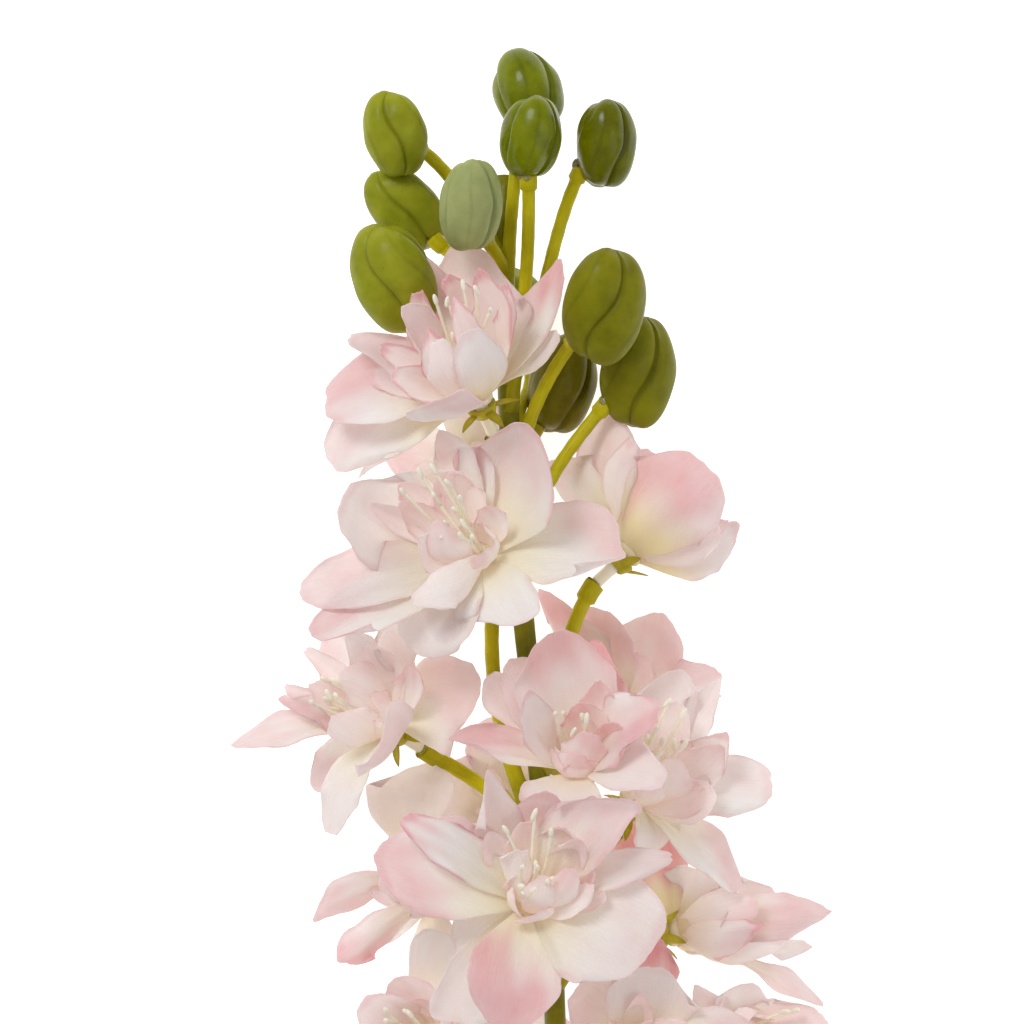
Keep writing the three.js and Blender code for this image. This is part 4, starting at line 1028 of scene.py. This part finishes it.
def thread_roots(bloom, head):
    """For each thread: the angle round the head that it leaves at, its foot and its reach."""
    draw = seeded(bloom.seed + 500)
    foot_height = bloom.at + bloom.faces * (head - 0.5)
    roots = []
    for i in range(STAMENS.count):
        turn = (i + 0.4 * draw()) / STAMENS.count * FULL_TURN
        lean = math.radians(STAMENS.spread * (0.4 + 0.6 * draw()))
        length = STAMENS.length * bloom.thread_share * (0.75 + 0.25 * draw())
        foot = turned_tip(bloom, turn, FULL_TURN / 4, 1.1) + foot_height
        roots.append((turn, foot, turned_tip(bloom, turn, lean, length)))
    for i, place in enumerate(bloom.threads):
        turn = 1.3 * i
        foot = turned_tip(bloom, turn, FULL_TURN / 4, 1.2) + foot_height
        roots.append((turn, foot, bloom.at + vec(*place) - foot))
    return roots


def add_thread(shape, bloom, turn, foot, reach, draw):
    """A swaying thread with an anther on its tip and, on some, a short fork."""

    def aside(angle, length):
        return turned_tip(bloom, angle, FULL_TURN / 4, length)

    tip = foot + reach
    tip[2] = max(tip[2], 1 + STAMENS.tip_radius)
    t = np.linspace(0, 1, 12)[:, None]
    sway = aside(turn + 1.5, 1.4 * (draw() - 0.5)) + aside(turn, 1.2 * draw())
    points = foot + (tip - foot) * t + sway * np.sin(math.pi * t)
    radii = STAMENS.radius - 0.12 * t[:, 0] + 0.2 * (1 - t[:, 0]) ** 6
    tube(shape, points, radii, 8)
    anther = unit(unit(points[-1] - points[-2]) + aside(turn + 2, 0.5 * draw()))
    ball(shape, tip - anther * 0.6, anther, 0.62, 2.8 + 0.8 * draw(), ANTHER, sides=8)
    if draw() < 0.4:
        fork = points[7]
        arm = unit(tip - foot + aside(turn + 3 * draw(), 7))
        s = np.linspace(0, 1, 5)[:, None]
        tube(shape, fork + arm * 3.6 * s, 0.42 - 0.06 * s[:, 0], 7)
        ball(shape, fork + arm * 3.8, arm, 0.58, 1.9, ANTHER, sides=8)


def make_stamens(bloom):
    """The pale shaft through the bloom, and the threads on its head."""
    shape = Shape()
    bottom, top, radius = SHAFT.bottom, SHAFT.top, SHAFT.radius
    head = top + SHAFT.head
    # Heights and radii: the foot, a collar under the calyx, the shaft and the head.
    profile = [
        (bottom, 0.9), (bottom, radius - 0.15), (bottom + 0.3, radius),
        (-7, radius), (-5.4, radius + 0.12), (-5, radius), (0, radius), (top - 0.3, radius),
        (top, 2.1), (top + 0.3, 2.5), (head - 0.2, 2.1), (head, 1.4), (head + 0.1, 0.5),
    ]
    heights, radii = zip(*profile)
    tube(shape, bloom.at + bloom.faces * np.array(heights)[:, None], radii, 18)
    draw = seeded(bloom.seed + 9000)
    for turn, foot, reach in thread_roots(bloom, head):
        add_thread(shape, bloom, turn, foot, reach, draw)
    shape.build(bloom.name + "_threads", [bloom.name + "_stamens"], [ivory_material])


def add_sepal(shape, start, out, axis, lean, draw):
    """A narrow pointed sepal with a keel, which bends a little along its length."""
    rows, columns = 14, 7
    share = np.linspace(0, 1, rows)[:, None, None]
    v = np.linspace(-1, 1, columns)[None, :, None]
    length = SEPALS.length * (0.6 + 0.16 * draw()) + 0.7
    bend = math.radians(4 + 12 * draw())
    heading = lean + bend * (share - 0.4)
    way = out * np.sin(heading) + axis * np.cos(heading)
    round_ = np.cross(axis, out)
    taper = np.sin(math.pi * np.clip(0.86 * share + 0.14, 0, 1) ** 0.8) ** 0.8
    half = SEPALS.half_width * taper + 0.05
    keel = 0.28 * (v * v - 0.5) * half
    grid = start + way * length * share + round_ * half * v - np.cross(round_, way) * keel
    thickness = SEPALS.thickness * (1 - 0.6 * share) * (1 - 0.5 * v * v)
    values = np.concatenate(np.broadcast_arrays(1 - np.abs(v), share, 0), axis=-1)
    add_shell(shape, grid, normals(grid) * thickness / 2, values, lowest=0.1)


def make_calyx(bloom):
    """The green cup under the petals, with its pointed sepals."""
    shape = Shape()
    at, axis = bloom.at, bloom.faces
    top, bottom, wide = CALYX.top, CALYX.bottom, CALYX.radius
    inner = SHAFT.radius + CLEARANCE + 0.15
    # Heights and radii round the cup's wall: its underside, its outside, its lip and its bore.
    profile = [
        (bottom + 0.2, inner), (bottom, inner + 0.3), (bottom, wide * 0.62), (bottom + 0.35, wide * 0.76),
        (bottom + 1.2, wide * 0.86), (bottom + 2.1, wide * 0.97), (top - 0.35, wide), (top, wide - 0.2),
        (top - 0.05, wide - 0.8), (top - 0.5, inner),
    ]
    heights, radii = np.transpose(profile)
    ribs = np.cos(SEPALS.count * round_angles(CALYX.sides))
    radii = radii[:, None] * (1 + 0.035 * ribs)
    values = np.zeros((*radii.shape, 3))
    # The rib value sets where the paint puts painted shade in the grooves.
    values[..., 0] = 0.5 + 0.5 * ribs
    lathe(shape, at, axis, heights, radii, CALYX.sides, values, hoop=True)
    first, second = across(axis)
    draw = seeded(bloom.seed + 300)
    for i in range(SEPALS.count):
        out = circle(first, second, (i + 0.5) / SEPALS.count * FULL_TURN)
        start = at + out * (wide - 0.9) + axis * (top - 1.5)
        add_sepal(shape, start, out, axis, math.radians(bloom.sepals), draw)
    shape.build(bloom.name + "_cup", [bloom.name + "_calyx"], [calyx_material])


# ---- materials


def linear(screen):
    """A colour given as it looks on a screen, out of 255, as the amounts of light it stands for."""
    parts = [c / 255 for c in screen]
    return (*[c / 12.92 if c <= 0.04045 else ((c + 0.055) / 1.055) ** 2.4 for c in parts], 1)


def scaled(colour, by):
    return tuple(c * by for c in colour)


class Paint:
    """A node material with short calls for the nodes it needs. A colour is given as on a screen."""

    def __init__(self, name, roughness, **settings):
        self.material = bpy.data.materials.new(name)
        self.material.use_nodes = True
        self.tree = self.material.node_tree
        self.shader = self.tree.nodes["Principled BSDF"]
        self.shader.inputs["Roughness"].default_value = roughness
        for socket, value in settings.items():
            self.shader.inputs[socket.replace("_", " ")].default_value = value

    def feed(self, socket, value):
        """Sets a socket to a value, or links it to another socket."""
        if isinstance(value, bpy.types.NodeSocket):
            self.tree.links.new(value, socket)
        else:
            socket.default_value = value

    def node(self, kind, inputs=None, **properties):
        made = self.tree.nodes.new(kind)
        for key, value in properties.items():
            setattr(made, key, value)
        for key, value in (inputs or {}).items():
            self.feed(made.inputs[key], value)
        return made

    def tints(self):
        attribute = self.node("ShaderNodeAttribute", attribute_name="tint")
        parts = self.node("ShaderNodeSeparateColor", {"Color": attribute.outputs["Color"]})
        return list(parts.outputs)

    def span(self, across_, along):
        """The piece's own millimetres, scaled across and along."""
        uv = self.node("ShaderNodeUVMap", uv_map="span").outputs[0]
        inputs = {0: uv, 1: (across_, along, 1)}
        return self.node("ShaderNodeVectorMath", inputs, operation="MULTIPLY").outputs[0]

    def place(self):
        return self.node("ShaderNodeTexCoord").outputs["Object"]

    def noise(self, vector, scale, detail):
        inputs = {"Vector": vector, "Scale": scale, "Detail": detail, "Roughness": 0.55}
        return self.node("ShaderNodeTexNoise", inputs).outputs["Fac"]

    def wave(self, direction, scale):
        inputs = {"Vector": self.span(1, 1), "Scale": scale, "Distortion": 0.6}
        return self.node("ShaderNodeTexWave", inputs, bands_direction=direction).outputs["Fac"]

    def ramp(self, value, low=0.3, high=0.7, start=0, end=1):
        inputs = {"Value": value, "From Min": low, "From Max": high, "To Min": start, "To Max": end}
        return self.node("ShaderNodeMapRange", inputs).outputs["Result"]

    def plus(self, a, b):
        return self.node("ShaderNodeMath", {0: a, 1: b}, operation="ADD").outputs[0]

    def times(self, a, b):
        return self.node("ShaderNodeMath", {0: a, 1: b}, operation="MULTIPLY").outputs[0]

    def mix(self, factor, a, b):
        """Colour a, turning to colour b as the factor goes from 0 to 1."""
        made = self.node("ShaderNodeMix", data_type="RGBA", clamp_factor=True)
        for socket, value in ((0, factor), (6, a), (7, b)):
            self.feed(made.inputs[socket], linear(value) if isinstance(value, tuple) else value)
        return made.outputs[2]

    def finish(self, colour, height, strength, distance, roughness=None):
        """Links the colour, a bump and, where one is given, the roughness. Returns the material."""
        bump = self.node("ShaderNodeBump", {"Height": height, "Strength": strength, "Distance": distance})
        self.feed(self.shader.inputs["Base Color"], colour)
        self.feed(self.shader.inputs["Normal"], bump.outputs[0])
        if roughness is not None:
            self.feed(self.shader.inputs["Roughness"], roughness)
        return self.material


PETAL = Row(
    white=(236, 241, 238), root=(224, 219, 158), pink=(210, 128, 138), rim=(198, 98, 122),
    streak=(226, 204, 198), grain=(206, 188, 182), weave=(206, 184, 178),
)


def petal_paint(name, painted_glow):
    """Thin satin that lets light through. Its warm emission is painted light: a glow that stands for the
    light that comes from behind, and lifts and warms the shade.
    """
    p = Paint(
        name, 0.5, Sheen_Weight=0.2, Sheen_Roughness=0.4, Specular_IOR_Level=0.3,
        Subsurface_Weight=0.5, Subsurface_Radius=(1, 0.8, 0.75), Subsurface_Scale=0.002,
        Emission_Color=(1, 0.6, 0.55, 1), Emission_Strength=painted_glow,
    )
    pink, deep, root = p.tints()
    cloud = p.ramp(p.noise(p.span(0.09, 0.06), 1, 4), 0.3, 0.7, -0.12, 0.12)
    washed = p.plus(pink, p.times(cloud, p.ramp(pink, 0, 0.3, 0.25, 1)))
    streak = p.noise(p.span(2.2, 0.1), 1, 3)
    grain = p.noise(p.span(3.2, 2.4), 1, 2)
    weave = p.plus(p.times(p.wave("X", 1.1), 0.25), p.times(p.wave("Y", 0.8), 0.18))
    colour = p.mix(washed, p.mix(root, PETAL.white, PETAL.root), PETAL.pink)
    colour = p.mix(p.times(deep, 0.85), colour, PETAL.rim)
    colour = p.mix(p.ramp(streak, 0.45, 0.75, 0, 0.22), colour, PETAL.streak)
    colour = p.mix(p.ramp(grain, 0.35, 0.65, 0, 0.1), colour, PETAL.grain)
    colour = p.mix(p.ramp(weave, 0.1, 0.4, 0, 0.06), colour, PETAL.weave)
    return p.finish(colour, p.plus(weave, p.times(streak, 2.2)), 0.35, 0.0003)


def bud_paint(name, light, dark, crease, roughness, coat):
    """Moulded plastic, mottled, with creases darkened by painted shade, and small specks."""
    p = Paint(
        name, roughness, Coat_Weight=coat, Coat_Roughness=0.16, Specular_IOR_Level=0.1,
        Subsurface_Weight=0.06, Subsurface_Radius=(1, 0.95, 0.2), Subsurface_Scale=0.002,
    )
    groove, seam, _ = p.tints()
    mottle = p.noise(p.place(), 190, 4)
    specks = p.noise(p.place(), 1500, 1)
    patches = p.noise(p.place(), 60, 2)
    colour = p.mix(p.ramp(mottle), dark, light)
    colour = p.mix(p.ramp(patches, 0.4, 0.75, 0, 0.35), colour, scaled(light, 1.12))
    # Painted shade: the creases are darkened towards the crease colour.
    colour = p.mix(p.times(groove, 0.35), colour, crease)
    colour = p.mix(p.times(seam, 0.3), colour, crease)
    colour = p.mix(p.ramp(specks, 0.72, 0.8, 0, 0.55), colour, scaled(dark, 0.6))
    height = p.plus(p.noise(p.place(), 420, 4), p.times(mottle, 2))
    uneven = p.ramp(mottle, 0.3, 0.75, roughness - 0.08, roughness + 0.12)
    return p.finish(colour, height, 0.22, 0.0004, uneven)


def stem_paint():
    """Yellow-green where a stalk is young and dark green where it leaves the stem."""
    p = Paint("stem_plastic", 0.4, Specular_IOR_Level=0.15, Coat_Weight=0.06, Coat_Roughness=0.2)
    young, _, _ = p.tints()
    mottle = p.noise(p.place(), 150, 4)
    streak = p.noise(p.span(1.4, 0.12), 1, 3)
    patchy = p.ramp(mottle)
    old = p.mix(patchy, (98, 100, 6), (142, 136, 20))
    new = p.mix(patchy, (178, 168, 0), (206, 194, 18))
    colour = p.mix(p.ramp(streak, 0.5, 0.8, 0, 0.3), p.mix(young, old, new), (126, 114, 0))
    return p.finish(colour, p.plus(streak, mottle), 0.3, 0.0004, p.ramp(mottle, 0.3, 0.7, 0.32, 0.5))


def calyx_paint():
    """Yellow-green plastic, with painted shade in the grooves and towards the sepals' edges, and browner at
    the sepals' points.
    """
    p = Paint(
        "calyx_plastic", 0.42, Specular_IOR_Level=0.3,
        Subsurface_Weight=0.1, Subsurface_Radius=(1, 0.95, 0.2), Subsurface_Scale=0.0015,
    )
    rib, tip, _ = p.tints()
    mottle = p.noise(p.place(), 300, 4)
    colour = p.mix(p.ramp(mottle), (184, 172, 20), (212, 198, 60))
    # Painted shade: darker in the grooves between the ribs and towards the sepals' edges.
    colour = p.mix(p.ramp(rib, 0.3, 1, 0.2, 0), colour, (136, 134, 20))
    colour = p.mix(p.ramp(tip, 0.6, 1, 0, 0.5), colour, (140, 108, 24))
    return p.finish(colour, mottle, 0.3, 0.0003)


def ivory_paint():
    """Cream-white plastic, a little lighter on the anthers, with a faint painted glow from its emission."""
    p = Paint(
        "stamen_ivory", 0.36, Coat_Weight=0.15, Coat_Roughness=0.2,
        Subsurface_Weight=0.35, Subsurface_Radius=(1, 0.85, 0.6), Subsurface_Scale=0.0015,
        Emission_Color=(1, 0.93, 0.8, 1), Emission_Strength=0.08,
    )
    _, _, anther = p.tints()
    mottle = p.noise(p.place(), 400, 3)
    colour = p.mix(p.ramp(mottle), (246, 240, 222), (240, 230, 200))
    colour = p.mix(p.times(anther, 0.5), colour, (250, 246, 226))
    return p.finish(colour, mottle, 0.2, 0.0003)


def glue_paint():
    p = Paint("clear_glue", 0.16, Transmission_Weight=0.75, IOR=1.46)
    mottle = p.noise(p.place(), 600, 2)
    colour = p.mix(p.ramp(mottle), (236, 226, 196), (214, 204, 160))
    return p.finish(colour, mottle, 0.25, 0.0003)


# Both petal finishes have a painted glow. The hearts' finish glows more, which lightens the shade between
# their layers.
petal_materials = [petal_paint("petal_satin", 0.095), petal_paint("petal_heart", 0.165)]
stem_material = stem_paint()
calyx_material = calyx_paint()
ivory_material = ivory_paint()
glue_material = glue_paint()
bud_materials = {
    "gloss": bud_paint("bud_gloss", (126, 134, 0), (94, 102, 0), (64, 68, 0), 0.28, 0.2),
    "deep": bud_paint("bud_deep", (114, 116, 0), (84, 87, 0), (60, 62, 0), 0.28, 0.2),
    "satin": bud_paint("bud_satin", (156, 158, 36), (130, 135, 18), (90, 92, 8), 0.44, 0.06),
    "olive": bud_paint("bud_olive", (134, 131, 16), (110, 109, 6), (76, 72, 0), 0.44, 0.05),
    "pale": bud_paint("bud_greyed", (166, 171, 112), (148, 157, 96), (118, 124, 72), 0.5, 0.03),
    "dark": bud_paint("bud_dark", (130, 122, 20), (106, 98, 6), (80, 74, 0), 0.42, 0.08),
}

# ---- the pieces

for number, bloom in enumerate(BLOOMS):
    for key, value in BLOOM_DEFAULTS.items():
        bloom.setdefault(key, value)
    bloom["at"] = vec(*bloom.at)
    bloom["faces"] = unit(vec(*bloom.faces))
    bloom["seed"] = 101 + 37 * number
    away = bloom.at - stem_point(bloom.at[1])
    bloom["side"] = unit(away * vec(1, 0, 1))
for bud in BUDS:
    for key in ("centre", "stalk", "axis"):
        bud[key] = vec(*bud[key])
    bud["axis"] = unit(bud.axis)
for bloom in BLOOMS:
    bloom["planes"] = clear_planes(bloom)

make_stem()
for number, bud in enumerate(BUDS):
    make_bud(bud, number)
for bloom in BLOOMS:
    make_petals(bloom)
    make_stamens(bloom)
    make_calyx(bloom)

# ---- surface, light and camera


def make_floor():
    """The white surface that the stem lies on, in metres."""
    reach = 3
    corners = [(-reach, -reach, 0), (reach, -reach, 0), (reach, reach, 0), (-reach, reach, 0)]
    mesh = bpy.data.meshes.new("surface")
    mesh.from_pydata(corners, [], [(0, 1, 2, 3)])
    floor = bpy.data.objects.new("surface", mesh)
    bpy.context.scene.collection.objects.link(floor)
    floor.location.z = -0.0002  # just clear of the part
    p = Paint("surface_white", 0.9, Emission_Color=(1, 1, 1, 1), Emission_Strength=0.62)
    grain = p.noise(p.place(), 900, 2)
    p.feed(p.shader.inputs["Base Color"], p.mix(p.ramp(grain), (246, 246, 246), (250, 250, 250)))
    mesh.materials.append(p.material)


def make_light(name, place, target, size, power):
    lamp = bpy.data.lights.new(name, "AREA")
    lamp.shape = "DISK"
    lamp.size = size
    lamp.energy = power
    light = bpy.data.objects.new(name, lamp)
    bpy.context.scene.collection.objects.link(light)
    light.location = place
    light.rotation_euler = (Vector(target) - Vector(place)).to_track_quat("-Z", "Y").to_euler()


make_floor()
make_light("key", (-0.55, 0.75, 1.1), (0, 0.08, 0.03), 0.5, 7.5)
make_light("fill", (0.9, -0.3, 0.8), (0, 0.05, 0.03), 0.9, 2)

scene = bpy.context.scene
world = bpy.data.worlds.new("studio")
world.use_nodes = True
sky = world.node_tree.nodes["Background"]
sky.inputs["Color"].default_value = (1, 1, 1, 1)
sky.inputs["Strength"].default_value = 0.45
scene.world = world
scene.view_settings.view_transform = "Standard"
scene.view_settings.look = "None"

# The camera looks straight down. The picture is this wide, in metres, at 0.9 m from it.
PICTURE_WIDTH = 0.24576
PICTURE_DISTANCE = 0.9
CAMERA_HEIGHT = 0.945
SENSOR_WIDTH = 36  # in mm
camera_data = bpy.data.cameras.new("camera")
camera_data.sensor_width = SENSOR_WIDTH
camera_data.lens = SENSOR_WIDTH * PICTURE_DISTANCE / PICTURE_WIDTH
camera = bpy.data.objects.new("camera", camera_data)
scene.collection.objects.link(camera)
camera.location = (SHIFT[0] / 1000, SHIFT[1] / 1000, CAMERA_HEIGHT)
scene.camera = camera
